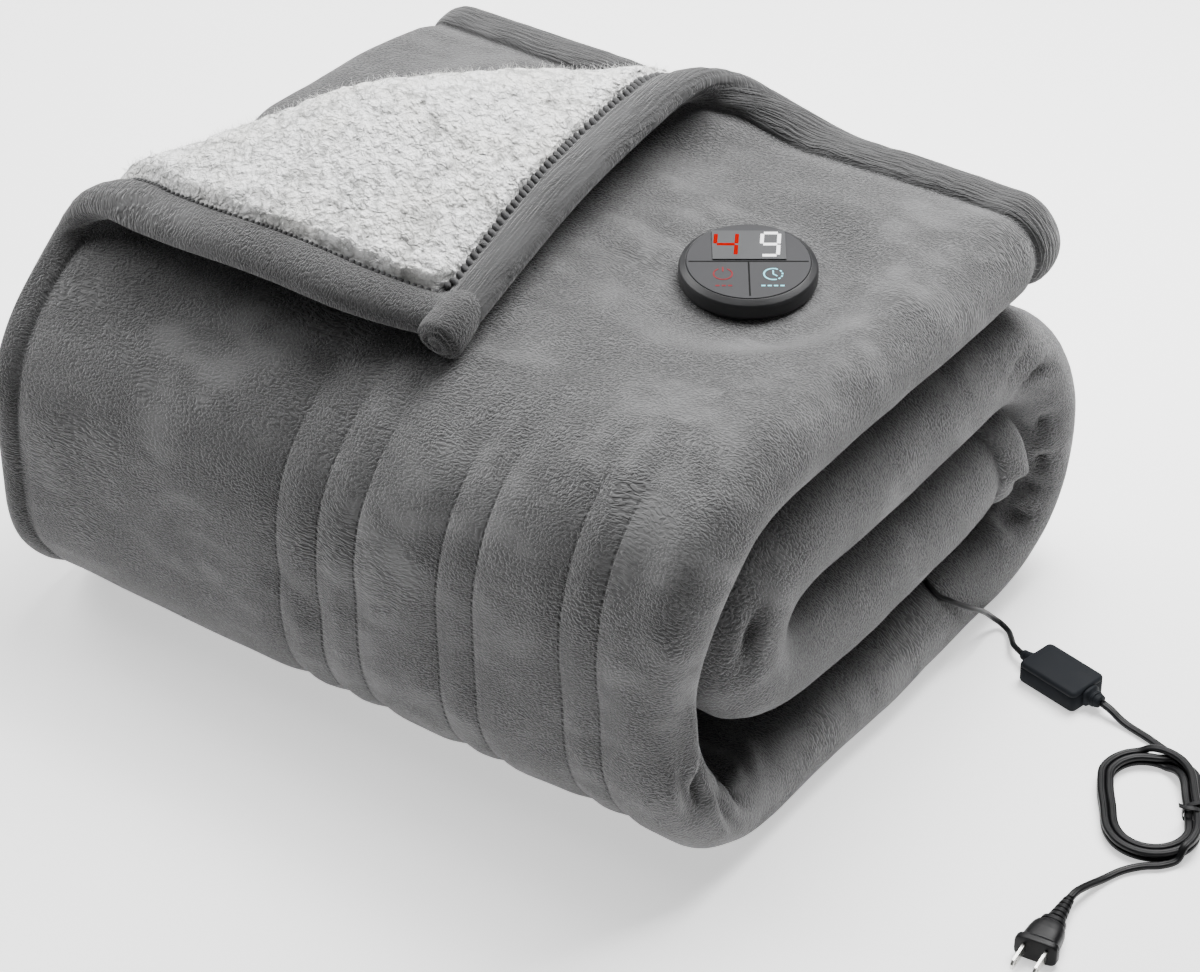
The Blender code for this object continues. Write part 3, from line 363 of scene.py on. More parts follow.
# The creases: how deep, how wide at half depth or so, and the line that each follows.
Crease = namedtuple("Crease", "deep wide line")
CREASES = (
    Crease(0.0051, 0.0042, ((0.203, -0.133, 0.050), (0.226, -0.156, 0.060), (0.240, -0.167, 0.061))),
    Crease(0.0072, 0.0042, ((0.223, -0.142, 0.052), (0.237, -0.154, 0.053), (0.245, -0.152, 0.043))),
    Crease(-0.0032, 0.0042, ((0.199, -0.112, 0.050), (0.218, -0.128, 0.050), (0.235, -0.144, 0.050))),
    Crease(-0.0043, 0.0047, ((0.206, -0.107, 0.050), (0.226, -0.121, 0.049), (0.240, -0.132, 0.044))),
    Crease(0.0072, 0.0042, ((0.236, -0.183, 0.090), (0.240, -0.189, 0.081), (0.243, -0.188, 0.065))),
    Crease(-0.0043, 0.0054, ((0.236, -0.193, 0.140), (0.235, -0.190, 0.110), (0.239, -0.192, 0.088))),
    Crease(0.0051, 0.0054, ((0.236, -0.199, 0.099), (0.237, -0.199, 0.084), (0.240, -0.194, 0.057))),
    Crease(-0.0036, 0.0054, ((0.241, -0.185, 0.075), (0.244, -0.180, 0.057), (0.245, -0.169, 0.033))),
    Crease(0.0043, 0.0047, ((0.239, -0.173, 0.068), (0.244, -0.173, 0.057), (0.247, -0.164, 0.036))),
    Crease(-0.0029, 0.0068, ((0.235, -0.206, 0.188), (0.233, -0.206, 0.147), (0.233, -0.203, 0.118))),
    Crease(-0.0036, 0.0061, ((0.233, -0.205, 0.099), (0.236, -0.203, 0.078), (0.238, -0.197, 0.058))),
    Crease(0.0116, 0.0047, ((0.242, -0.141, 0.162), (0.242, -0.143, 0.157), (0.242, -0.145, 0.150))),
    Crease(0.0058, 0.0054, ((0.242, -0.145, 0.151), (0.240, -0.151, 0.140), (0.238, -0.153, 0.130))),
    Crease(-0.0036, 0.0068, ((0.235, -0.150, 0.160), (0.238, -0.152, 0.148), (0.237, -0.154, 0.133))),
    Crease(0.0020, 0.0060, ((0.235, -0.124, 0.187), (0.238, -0.135, 0.176), (0.241, -0.140, 0.164))),
    Crease(0.0051, 0.0061, ((0.243, 0.135, 0.181), (0.247, 0.116, 0.178), (0.248, 0.098, 0.168))),
    Crease(-0.0041, 0.0068, ((0.241, 0.127, 0.186), (0.245, 0.107, 0.185), (0.248, 0.088, 0.176))),
    Crease(0.0043, 0.0054, ((0.241, 0.117, 0.189), (0.245, 0.100, 0.184), (0.248, 0.086, 0.175))),
    Crease(-0.0020, 0.0060, ((0.246, 0.142, 0.172), (0.248, 0.128, 0.167), (0.247, 0.114, 0.164))),
    Crease(0.0072, 0.0054, ((0.246, 0.119, 0.158), (0.248, 0.135, 0.160), (0.248, 0.153, 0.154))),
    Crease(0.0058, 0.0061, ((0.238, 0.150, 0.114), (0.241, 0.153, 0.113), (0.245, 0.160, 0.112))),
    Crease(-0.0036, 0.0068, ((0.238, 0.152, 0.098), (0.242, 0.157, 0.096), (0.246, 0.163, 0.095))),
    Crease(0.0065, 0.0054, ((0.237, 0.152, 0.086), (0.242, 0.156, 0.085), (0.245, 0.162, 0.085))),
    Crease(-0.0043, 0.0068, ((0.251, 0.120, 0.102), (0.240, 0.153, 0.078), (0.245, 0.159, 0.073))),
    Crease(0.0072, 0.0054, ((0.249, 0.118, 0.096), (0.241, 0.151, 0.069), (0.245, 0.155, 0.065))),
    Crease(0.0065, 0.0054, ((0.231, 0.137, 0.061), (0.239, 0.139, 0.057), (0.246, 0.144, 0.050))),
    Crease(-0.0041, 0.0061, ((0.234, 0.143, 0.066), (0.239, 0.145, 0.062), (0.245, 0.151, 0.056))),
    Crease(0.0043, 0.0054, ((0.228, 0.131, 0.059), (0.236, 0.130, 0.055), (0.245, 0.133, 0.046))),
    Crease(-0.0029, 0.0068, ((0.229, 0.122, 0.056), (0.237, 0.120, 0.052), (0.244, 0.125, 0.044))),
    Crease(0.0030, 0.0120, ((-0.150, -0.160, 0.216), (-0.108, -0.167, 0.219), (-0.067, -0.166, 0.223))),
    Crease(0.0030, 0.0160, ((0.193, -0.168, 0.247), (0.207, -0.198, 0.221), (0.210, -0.214, 0.181))),
    Crease(-0.0030, 0.0180, ((0.225, -0.177, 0.242), (0.235, -0.200, 0.210), (0.230, -0.211, 0.163))),
    Crease(0.0025, 0.0180, ((-0.051, -0.151, 0.231), (-0.016, -0.168, 0.223), (0.005, -0.186, 0.210))),
    Crease(-0.0022, 0.0160, ((0.042, -0.120, 0.253), (0.049, -0.156, 0.231), (0.066, -0.189, 0.210))),
    Crease(0.0020, 0.0100, ((0.045, -0.015, 0.257), (0.083, -0.020, 0.258), (0.128, -0.039, 0.260))),
    Crease(0.0022, 0.0160, ((0.210, 0.072, 0.264), (0.236, 0.051, 0.260), (0.246, 0.025, 0.247))),
    Crease(0.0025, 0.0140, ((0.245, -0.091, 0.250), (0.245, -0.072, 0.251), (0.247, -0.035, 0.247))),
    Crease(0.0025, 0.0100, ((-0.039, -0.216, 0.121), (-0.005, -0.215, 0.109), (0.013, -0.214, 0.081))),
    Crease(0.0072, 0.0042, ((0.007, -0.131, 0.267), (0.013, -0.137, 0.262), (0.018, -0.140, 0.254))),
)

# ---- the lining's fine form
SHERPA_SIDE = 0.0220  # where it starts from the cloth's side edge
SHERPA_END = 0.0305  # from its end
SHERPA_START = 0.004  # and past the crease
SHERPA_GRID = (250, 200)
SHERPA_PILE = 0.0050
BACKING_TOP, BACKING_LOW = 0.0008, 0.0006  # the backing over and under the cloth's own lining side
PILE_EASE = 0.0035  # how far in from its rim the pile has its whole height
CLUMP_BIG = 0.0078
CLUMP_SMALL = 0.0038
CLUMP_RISE = (0.0022, 0.0009)
CLUMP_LONG = (0.80, 0.85)  # the clumps are longer across the cloth by 1 over this
CLUMP_REACH = 0.74  # a clump's radius, as a share of the clumps' pitch
CLUMP_STRAY = 0.42  # how far a clump's middle may lie off its cell's
BIG_SHARE = 0.62
DRIFT = Lump(0.0035, 0.017, 21)
SWELL = Lump(0.0018, 0.026, 25)
CLUMP_SINK = 0.0014
CURLS = 2400
CURL_SEED = 31
CURL_RADIUS = (0.0009, 0.0019)
CURL_THICK = (0.00055, 0.00095)
CURL_SWEEP = (2.6, 4.6)  # radians
CURL_LEAN = 0.9
CURL_OPEN, CURL_RISE = 0.35, 0.8  # how much wider a curl ends than it starts, and how far it climbs
CURL_TAPER = (0.45, 0.95, 1.0, 1.0, 0.9, 0.35)
CURL_SEAT = 0.84  # the curls start at this share of the pile's height
FIBRES = 7000
FIBRE_SEED = 41
FIBRE_LONG, FIBRE_THICK, FIBRE_DROOP = 0.0074, 0.00012, 0.15
FIBRE_SEAT = 0.9
FIBRE_STATIONS = (0.0, 0.35, 0.7, 1.0)
FIBRE_TAPER = (1.0, 0.9, 0.6, 0.2)
SEAM_SIDE = 0.0215
SEAM_END = 0.0302
SEAM_START, SEAM_STOP = 0.004, 0.012  # from the corner, and from the crease
SEAM_POINTS = 120
TURN_POINTS = 14  # along one turn of the seam's yarn
Seam = namedtuple("Seam", "radius pitch yarn lift")
END_STITCH = Seam(0.0022, 0.0046, 0.0019, 0.0006)
SIDE_STITCH = Seam(0.0013, 0.0036, 0.0011, 0.0001)

# ---- colours, as linear red, green and blue
PLUSH_GREY = (0.101, 0.101, 0.1021)
PLUSH_LIGHT = (0.126, 0.126, 0.1273)
PLUSH_DARK = (0.086, 0.086, 0.0872)
# the painted shade of the pile's grooves, also laid over the hems
PLUSH_GROOVE_SHADE = (0.024, 0.024, 0.0245)
# dark of the stitch thread with painted shade along its row, and painted shade in the creases
THREAD_AND_CREASE_SHADE = (0.016, 0.016, 0.0163)
SHERPA_WHITE = (0.90, 0.90, 0.895)
SHERPA_CREAM = (0.84, 0.832, 0.806)
# painted shade between the lining's clumps and low in its pile
SHERPA_SHADE = (0.38, 0.38, 0.372)
SEAM_GREY = (0.070, 0.070, 0.0715)

# ---- the plush's finish: scales are in cells a metre, across the cloth and along it
DASHES = (520.0, 980.0, 1.0)  # the pile's own short dashes
WAVES = (215.0, 760.0, 1.0)  # which run together across the cloth in some patches
RIBS = (55.0, 640.0, 1.0)  # and lie flat along the end hem
STREAKS = (26.0, 60.0, 1.0)
PILE_DRIFT = (0.009, 0.009, 0.0)  # how far the dashes stray, in metres
PATCH_SCALE = 9.5
WAVED = (0.57, 0.67)
BRUSHED_SCALE = 12.0
BRUSHED_SHARE = 0.6  # of the patches in the tint, against the streaks
SMOOTHED = (0.62, 0.46)  # the tints at which the pile is brushed smooth and not at all
SMOOTH_RELIEF = 0.38  # what is left of the relief there
RIB_SHARE = 0.75
STITCH_SPAN = (0.0, 0.12, 0.66, 0.80)  # where in its pitch a stitch starts and ends
STITCH_HALF = (0.0004, 0.0013)  # the row's half width, full and faded out
STITCH_FAINT = 0.25  # what shows of the row between stitches, in its sinking and in its painted shade
STITCH_SINK, VALLEY_SINK = 0.9, 1.3
VALLEY_HALF = 0.0042
PILE_DEPTH = 0.0010
GROOVE_SHADE_SHARE, HEM_TONE_AND_SHADE, STITCH_THREAD_AND_SHADE, CREASE_SHADE_SHARE = 0.45, 0.60, 0.85, 0.8  # how dark each is: painted shade between the dashes; the hem's darker band, deepened by painted shade; dark stitch thread with painted shade along its row; painted shade in the creases

# ---- the lining's finish
CREAM_SCALE = 24.0
WOOL_DRIFT = (0.006, 0.006, 0.006)
BIG_CLUMPS, SMALL_CLUMPS = 185.0, 430.0
CURL_SCALE, CURL_SHARE = 700.0, 0.22
WOOL_DEPTH = 0.0042


def smooth_step(t):
    """0 below 0, 1 above 1, and three times the square less twice the cube between."""
    t = np.clip(t, 0.0, 1.0)
    return t * t * (3.0 - 2.0 * t)


def soften(values):
    """A moving average, twice, that keeps both ends in place by mirroring the run past them."""
    half = PATH_SOFTEN
    kernel = np.ones(2 * half + 1) / (2 * half + 1)
    for _ in range(2):
        head = 2 * values[0] - values[half:0:-1]
        tail = 2 * values[-1] - values[-2 : -half - 2 : -1]
        padded = np.concatenate([head, values, tail])
        values = np.stack([np.convolve(column, kernel, "valid") for column in padded.T], axis=1)
    return values


def corner_arc(before, corner, after, bend):
    """The points of the arc of radius bend that rounds a corner."""
    back = (before - corner) / np.linalg.norm(before - corner)
    ahead = (after - corner) / np.linalg.norm(after - corner)
    half = 0.5 * math.acos(float(np.clip(back @ ahead, -1.0, 1.0)))
    if math.pi / 2 - half < 1e-4:
        return corner[None, :]
    middle = corner + (back + ahead) / np.linalg.norm(back + ahead) * bend / math.sin(half)
    start = corner + back * bend / math.tan(half) - middle
    end = corner + ahead * bend / math.tan(half) - middle
    sweep = math.pi - 2 * half
    f = np.linspace(0.0, 1.0, 25)[:, None]
    return middle + (np.sin((1 - f) * sweep) * start + np.sin(f * sweep) * end) / math.sin(sweep)


def roll_line(turns):
    """Distance, point and thickness every PATH_STEP along the line through the turns, its corners round."""
    corners = [np.array((turn.y, turn.z)) for turn in turns]
    runs = [corners[0][None, :]]
    for i in range(1, len(turns) - 1):
        runs.append(corner_arc(corners[i - 1], corners[i], corners[i + 1], turns[i].bend))
    runs.append(corners[-1][None, :])
    marks = np.cumsum([len(run) for run in runs]) - np.array([len(run) // 2 + 1 for run in runs])
    points = np.concatenate(runs)
    gone = np.concatenate([[0.0], np.cumsum(np.linalg.norm(np.diff(points, axis=0), axis=1))])
    steps = np.linspace(0.0, gone[-1], int(round(gone[-1] / PATH_STEP)) + 1)
    line = np.stack([np.interp(steps, gone, points[:, k]) for k in (0, 1)], axis=1)
    thick = np.interp(steps, gone[marks], [turn.thick for turn in turns])
    return steps, soften(line), soften(thick[:, None])[:, 0]


STEPS, LINE, THICK = roll_line(ROLL)
TANGENT = np.gradient(LINE, axis=0)
TANGENT /= np.linalg.norm(TANGENT, axis=1)[:, None]
LENGTH = float(STEPS[-1])


def along(s, table):
    """The table's value at the distance s along the roll's line."""
    return np.interp(s, STEPS, table)


def thickness(s):
    """How thick the three plies and the air between them are."""
    return along(s, THICK)


def ply(s):
    """How thick one ply is."""
    return PLY_SHARE * thickness(s)


def past_crease(x, w):
    """How far a point of the top ply lies past the crease, towards the corner."""
    slope = math.hypot(CREASE_LEFT, CREASE_BACK)
    return (CREASE_LEFT * CREASE_BACK - (x - STRIP_LEFT) * CREASE_LEFT - w * CREASE_BACK) / slope


def section(q, s):
    """Across the strip: q 0-1 top ply, 1-2 right fold, 2-3 inner ply, 3-4 left fold, 4-5 middle ply.

    Gives x, the height m over the middle of the strip, and the x of the middle ply's free edge.
    """
    arm = 0.5 * (thickness(s) - ply(s))
    tuck, middle, reach = FRONT_TUCK
    right = STRIP_RIGHT - 0.5 * thickness(s) - tuck * np.exp(-(((LENGTH - s - middle) / reach) ** 2))
    inset = FOLD_INSET + FOLD_INSET_BACK * (1.0 - smooth_step((LENGTH - s) / 0.09))
    left = STRIP_LEFT + inset + 0.5 * arm + 0.5 * ply(s)
    free = right + 0.15 * arm
    part = np.clip(np.floor(q), 0, 4)
    f = q - part
    turn = math.pi * f
    where = [part == 0, part == 1, part == 2, part == 3]
    x = np.select(
        where,
        [
            STRIP_LEFT + f * (right - STRIP_LEFT),
            right + arm * np.sin(turn),
            right + f * (left - right),
            left - 0.5 * arm * np.sin(turn),
        ],
        left + f * (free - left),
    )
    swell = OPENED_LIFT * smooth_step((past_crease(x, LENGTH - s) - OPENED_START) / 0.07)
    m = np.select(
        where,
        [arm, arm * np.cos(turn), -arm, -0.5 * arm * (1.0 + np.cos(turn)) + swell * smooth_step(f)],
        swell,
    )
    return x, m, free


def on_roll(x, m, s):
    """The point at x across the strip and m outwards from the strip's middle line at s."""
    y = along(s, LINE[:, 0]) - m * along(s, TANGENT[:, 1])
    z = along(s, LINE[:, 1]) + m * along(s, TANGENT[:, 0])
    return np.stack(np.broadcast_arrays(x, y, z), axis=-1)


def round_corner(q, x, w):
    """Draws the top ply's free corner in to a round one, by mapping its square onto a quarter disc."""
    a = np.clip(1.0 - (x - STRIP_LEFT) / CORNER_ROUND, 0.0, 1.0)
    b = np.clip(1.0 - w / CORNER_ROUND, 0.0, 1.0)
    share = np.where((q <= 1.0) & (a * b > 0), np.maximum(a, b) / np.maximum(np.hypot(a, b), 1e-9), 1.0)
    return x + CORNER_ROUND * a * (1.0 - share), w + CORNER_ROUND * b * (1.0 - share)


def middle_surface(q, s):
    """The sheet's middle surface, with the corner of the top ply bent up over the crease and back."""
    x, m, _ = section(q, s)
    plain = on_roll(x, m, s)
    x, w = round_corner(q, x, LENGTH - s)
    s = LENGTH - w
    d = np.where(q <= 1.0, past_crease(x, w), -1.0)
    slope = math.hypot(CREASE_LEFT, CREASE_BACK)
    end_hem = 1.0 - smooth_step(w / CREST_EASE)
    side_hem = (1.0 - smooth_step((x - STRIP_LEFT) / CREST_EASE)) * (1.0 - end_hem)
    reach, rise = (
        mid + (end - mid) * end_hem + (side - mid) * side_hem
        for mid, side, end in zip(CREST, CREST_SIDE_HEM, CREST_END_HEM)
    )
    half_turn = 0.5 * math.pi * (3 * (reach + rise) - np.sqrt((3 * reach + rise) * (reach + 3 * rise)))
    angle = math.pi * np.clip(d / half_turn, 0.0, 1.0)
    beyond = np.clip(d - half_turn, 0.0, None)
    forward = reach * np.sin(angle) - beyond
    drop = (2 * rise - FLAP_LOW) * smooth_step(beyond / FLAP_SETTLE)
    height = rise * (1.0 - np.cos(angle)) - drop
    shift = np.clip(d, 0.0, None) - forward
    new_x = x + shift * CREASE_LEFT / slope
    new_s = s - shift * CREASE_BACK / slope
    arm = 0.5 * (thickness(new_s) - ply(new_s))
    bent = on_roll(new_x, arm + height, new_s)
    return np.where((d > 0.0)[..., None], bent, plain)


def edge_distance(q, s):
    """Distance within the sheet to its nearest free edge."""
    x, _, free = section(q, s)
    side = np.where(q <= 1.0, (x - STRIP_LEFT - SIDE_TRIM) * SIDE_NARROW, np.where(q >= 4.0, free - x, 1.0))
    return np.minimum(np.minimum(side, s), LENGTH - END_TRIM - s)


def half_thickness(q, s):
    """Half the sheet's thickness: a fat round hem, a nip at its stitches, full beyond."""
    e = edge_distance(q, s)
    half_hem = 0.5 * HEM_WIDTH
    bow = np.sqrt(np.clip(1.0 - (np.clip(e, 0.0, HEM_WIDTH) / half_hem - 1.0) ** 2, 0.0, 1.0))
    edge = EDGE_THIN + (HEM_PUFF - EDGE_THIN) * bow
    inner = HEM_NIP + (HEM_PUFF - HEM_NIP) * bow
    body = HEM_NIP + (1.0 - HEM_NIP) * smooth_step((e - HEM_WIDTH) / 0.012)
    share = np.where(e < half_hem, edge, np.where(e < HEM_WIDTH, inner, body))
    return 0.5 * ply(s) * share


def normals(q, s):
    """Unit normals of the middle surface by central differences, pointing out of the top ply."""
    dq, ds = 0.002, 0.001
    across = middle_surface(np.clip(q + dq, 0, 5), s) - middle_surface(np.clip(q - dq, 0, 5), s)
    onward = middle_surface(q, np.clip(s + ds, 0, LENGTH)) - middle_surface(q, np.clip(s - ds, 0, LENGTH))
    n = np.cross(across, onward)
    return n / np.linalg.norm(n, axis=-1)[..., None]


def settle(points):
    """The pack's own weight: lower towards the left end, and flat where it meets the surface."""
    x, y, z = points[..., 0], points[..., 1], points[..., 2]
    back = smooth_step((y - SAG_FRONT_Y) / (SAG_BACK_Y - SAG_FRONT_Y))
    sag = sum(share * smooth_step((start - x) / span) for start, span, share in (SAG_MIDDLE, SAG_LEFT))
    z = z * (1.0 - sag * (1.0 - (1.0 - SAG_BACK) * back))
    swing = smooth_step((-0.15 - x) / 0.08) * smooth_step((z - 0.12) / 0.10) * (1.0 - smooth_step(y / 0.12))
    x = x - FLARE * swing
    z = np.where(z < FLOOR_SNAP, 0.0, z)
    return np.stack([x, y, z], axis=-1)


def channel_depth(q, s):
    """How deep the rows of stitches across the front face sink into the top ply."""
    x, _, _ = section(q, s)
    y, z = along(s, LINE[:, 0]), along(s, LINE[:, 1])
    on_front = (q <= 1.0) * smooth_step((CHANNEL_TOP_Y + CHANNEL_FADE - y) / CHANNEL_FADE)
    rows = sum(np.exp(-(((x - at) / CHANNEL_WIDTH) ** 2)) for at in CHANNELS)
    return CHANNEL_DEPTH * rows * on_front * smooth_step((z - 0.022) / 0.03)


def seat_height(x, y):
    """The height of the plane that the controller's flat underside lies on."""
    toward_x, toward_y = math.sin(PUCK_TURN), -math.cos(PUCK_TURN)
    rise = (x - PUCK_AT[0]) * toward_x + (y - PUCK_AT[1]) * toward_y
    return PUCK_SEAT_Z - math.tan(PUCK_TILT) * rise


def seat_press(points):
    """How far the cloth sinks to lie flat under the controller, easing out around it."""
    x, y, z = points[..., 0], points[..., 1], points[..., 2]
    r = np.hypot(x - PUCK_AT[0], y - PUCK_AT[1])
    hold = (1.0 - smooth_step((r - PUCK_RADIUS - PUCK_MARGIN) / 0.035)) * (z > PUCK_SEAT_Z - 0.02)
    return hold * (seat_height(x, y) - z)


def swung(points, q, s):
    """The turned-back corner, swung by FLAP_TURN round the vertical through FLAP_PIVOT.

    The turn grows from 0 at the crease to its whole at FLAP_REACH past it, and away from the end hem
    the corner lifts by FLAP_LIFT.
    """
    x, _, _ = section(q, s)
    share = smooth_step(past_crease(x, LENGTH - s) / FLAP_REACH) * (q <= 1.0)
    angle = FLAP_TURN * share
    dx, dy = points[..., 0] - FLAP_PIVOT[0], points[..., 1] - FLAP_PIVOT[1]
    across = FLAP_PIVOT[0] + np.cos(angle) * dx - np.sin(angle) * dy
    onward = FLAP_PIVOT[1] + np.sin(angle) * dx + np.cos(angle) * dy
    start, span = FLAP_LIFT_EASE
    lift = FLAP_LIFT * share * smooth_step((LENGTH - s - start) / span)
    return np.stack([across, onward, points[..., 2] + lift], axis=-1)


def sheet(q, s, offset):
    """A point of the sheet, offset along its normal, settled."""
    return swung(settle(middle_surface(q, s) + normals(q, s) * offset[..., None]), q, s)


# ---- shared mesh code


def unit(vectors):
    """Each vector over its own length."""
    return vectors / np.maximum(np.linalg.norm(vectors, axis=-1, keepdims=True), 1e-12)


def signed_volume(points, face_sets):
    """Six times the volume inside the faces: positive where they are turned outwards."""
    total = 0.0
    for faces in face_sets:
        a = points[faces[:, 0]]
        for k in range(1, faces.shape[1] - 1):
            total += np.einsum("ij,ij->", a, np.cross(points[faces[:, k]], points[faces[:, k + 1]]))
    return total


def mesh_piece(name, points, *face_sets):
    """A smooth mesh object from points and arrays of faces, turned outwards, riding on the body."""
    if signed_volume(points, face_sets) < 0:
        face_sets = [faces[:, ::-1] for faces in face_sets]
    corners = np.concatenate([faces.ravel() for faces in face_sets]).astype(np.int32)
    sizes = np.concatenate([np.full(len(faces), faces.shape[1]) for faces in face_sets])
    starts = np.concatenate([[0], np.cumsum(sizes)[:-1]]).astype(np.int32)
    mesh = bpy.data.meshes.new(name)
    mesh.vertices.add(len(points))
    mesh.vertices.foreach_set("co", np.ascontiguousarray(points, dtype=np.float32).ravel())
    mesh.loops.add(len(corners))
    mesh.loops.foreach_set("vertex_index", corners)
    mesh.polygons.add(len(sizes))
    mesh.polygons.foreach_set("loop_start", starts)
    mesh.polygons.foreach_set("use_smooth", np.ones(len(sizes), dtype=bool))
    mesh.update(calc_edges=True)
    obj = bpy.data.objects.new(name, mesh)
    bpy.context.scene.collection.objects.link(obj)
    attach(obj, "root")
    return obj


def ring_faces(rows, count):
    """Quads between rings of count points each."""
    i, j = np.meshgrid(np.arange(rows - 1), np.arange(count), indexing="ij")
    a = i * count + j
    b = i * count + (j + 1) % count
    return np.stack([a, b, b + count, a + count], axis=-1).reshape(-1, 4)


def skin(rings):
    """Points and faces of a closed body over rings of points, with a pole in the middle of each end."""
    rows, count = rings.shape[:2]
    points = np.concatenate([rings.reshape(-1, 3), rings[:1].mean(axis=1), rings[-1:].mean(axis=1)])
    here = np.arange(count)
    after = (here + 1) % count
    last = (rows - 1) * count
    near = np.stack([after, here, np.full(count, rows * count)], axis=1)
    far = np.stack([last + here, last + after, np.full(count, rows * count + 1)], axis=1)
    return points, ring_faces(rows, count), np.concatenate([near, far])


def many_tubes(rings):
    """Points and faces of many closed tubes at once: rings has the shape tubes, rows, count, 3."""
    tubes, rows, count = rings.shape[:3]
    points, quads, caps = skin(rings[0])
    size = len(points)
    ends = rings[:, (0, -1)].mean(axis=2)
    points = np.concatenate([rings.reshape(tubes, -1, 3), ends], axis=1).reshape(-1, 3)
    step = (np.arange(tubes) * size)[:, None, None]
    return points, (quads[None] + step).reshape(-1, 4), (caps[None] + step).reshape(-1, 3)


def grid_faces(rows, cols, first=0):
    """Quads over a grid of points whose first index is given."""
    i, j = np.meshgrid(np.arange(rows - 1), np.arange(cols - 1), indexing="ij")
    a = first + i * cols + j
    return np.stack([a, a + cols, a + cols + 1, a + 1], axis=-1).reshape(-1, 4)


def rim_of(rows, cols, first=0):
    """The indices round a grid's edge, in order."""
    index = first + np.arange(rows * cols).reshape(rows, cols)
    return np.concatenate([index[:-1, 0], index[-1, :-1], index[:0:-1, -1], index[0, :0:-1]])


def slab(upper, lower):
    """Points and faces of the body between two grids of the same size, its rim closed."""
    rows, cols = upper.shape[:2]
    count = rows * cols
    near, far = rim_of(rows, cols), rim_of(rows, cols, count)
    rim = np.stack([near, far, np.roll(far, -1), np.roll(near, -1)], axis=1)
    points = np.concatenate([upper.reshape(-1, 3), lower.reshape(-1, 3)])
    return points, np.concatenate([grid_faces(rows, cols), grid_faces(rows, cols, count)[:, ::-1], rim])


def lattice_noise(points, size, seed):
    """Smooth noise from -1 to 1: random values at the corners of cubes of that size, blended between."""
    rng = np.random.default_rng(seed)
    table = rng.uniform(-1.0, 1.0, 4096)
    at = points / size + 100.0
    cell = np.floor(at).astype(np.int64)
    f = at - cell
    f = f * f * (3.0 - 2.0 * f)
    total = np.zeros(points.shape[:-1])
    for corner in range(8):
        bits = np.array([(corner >> k) & 1 for k in range(3)])
        key = (cell + bits) @ np.array([73856093, 19349663, 83492791])
        weight = np.prod(np.where(bits == 1, f, 1.0 - f), axis=-1)
        total += weight * table[(key ^ (key >> 13)) & 4095]
    return total


def rows_between(knots, count):
    """The knots' rows, with count rows eased in along them by distance."""
    knots = np.asarray(knots, dtype=float)
    gone = np.concatenate([[0.0], np.cumsum(np.linalg.norm(np.diff(knots[:, :3], axis=0), axis=1))])
    t = np.unique(np.concatenate([np.linspace(0.0, gone[-1], count), gone]))
    return np.stack([np.interp(t, gone, column) for column in knots.T], axis=1)


def round_profile(profile, bend):
    """The profile's corners rounded by arcs of radius bend or less."""
    profile = np.asarray(profile, dtype=float)
    runs = [profile[:1]]
    for before, corner, after in zip(profile[:-2], profile[1:-1], profile[2:]):
        back, ahead = before - corner, after - corner
        room = 0.45 * min(np.linalg.norm(back), np.linalg.norm(ahead))
        cosine = float(np.clip(unit(back) @ unit(ahead), -1.0, 1.0))
        half = 0.5 * math.acos(cosine)
        if math.pi / 2 - half < 0.02:
            runs.append(corner[None])
        else:
            runs.append(corner_arc(before, corner, after, min(bend, room * math.tan(half)))[::4])
    runs.append(profile[-1:])
    return np.concatenate(runs)


def transform(place, points):
    """The points moved by the place's matrix."""
    matrix = np.array(place)
    return points @ matrix[:3, :3].T + matrix[:3, 3]


def turned(name, profile, place, count=128):
    """The profile, rows of (radius, height) from axis to axis, turned about the placed Z axis."""
    rows = profile[1:-1]
    turn = 2 * math.pi * np.arange(count) / count
    flat = rows[:, :1] * np.ones(count)
    rings = np.stack([flat * np.cos(turn), flat * np.sin(turn), rows[:, 1:] * np.ones(count)], axis=-1)
    points, quads, caps = skin(rings)
    return mesh_piece(name, transform(place, points), quads, caps)


def placed(at, heading):
    """A frame at the point of the model, its X axis turned to the heading."""
    return Matrix.Translation(Vector(np.asarray(at) + SHIFT)) @ Matrix.Rotation(heading, 4, "Z")


def sweep(path, outline):
    """Rings of the outline, rows of (aside, upwards), carried along the path and kept upright."""
    tangent = unit(np.gradient(path, axis=0))
    aside = unit(np.cross(np.array((0.0, 0.0, 1.0)), tangent))
    above = np.cross(tangent, aside)
    return path[:, None] + outline[None, :, :1] * aside[:, None] + outline[None, :, 1:] * above[:, None]


def wound(middle, first, second, turn):
    """Points round a middle: the first axis times the turn's cosine and the second times its sine."""
    return middle + np.cos(turn) * first + np.sin(turn) * second


def dressed(obj, finish, slot_name, *nodes):
    """The object with its finish, in place of the model's nodes of those names; its slot's name is not used.
    """
    obj.data.materials.append(finish)
    if nodes:
        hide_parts(*nodes)
    return obj


def smooth_path(route, step):
    """Points at equal steps along a smooth curve through the route's points."""
    route = np.asarray(route, dtype=float)
    chord = np.concatenate([[0.0], np.cumsum(np.linalg.norm(np.diff(route, axis=0), axis=1))])
    slopes = np.gradient(route, chord, axis=0)
    t = np.linspace(0.0, chord[-1], 40 * len(route))
    i = np.clip(np.searchsorted(chord, t, side="right") - 1, 0, len(route) - 2)
    span = (chord[i + 1] - chord[i])[:, None]
    f = (t - chord[i])[:, None] / span
    curve = (
        (2 * f**3 - 3 * f**2 + 1) * route[i]
        + (f**3 - 2 * f**2 + f) * span * slopes[i]
        + (3 * f**2 - 2 * f**3) * route[i + 1]
        + (f**3 - f**2) * span * slopes[i + 1]
    )
    gone = np.concatenate([[0.0], np.cumsum(np.linalg.norm(np.diff(curve, axis=0), axis=1))])
    even = np.linspace(0.0, gone[-1], int(round(gone[-1] / step)) + 1)
    return np.stack([np.interp(even, gone, curve[:, k]) for k in range(3)], axis=1)


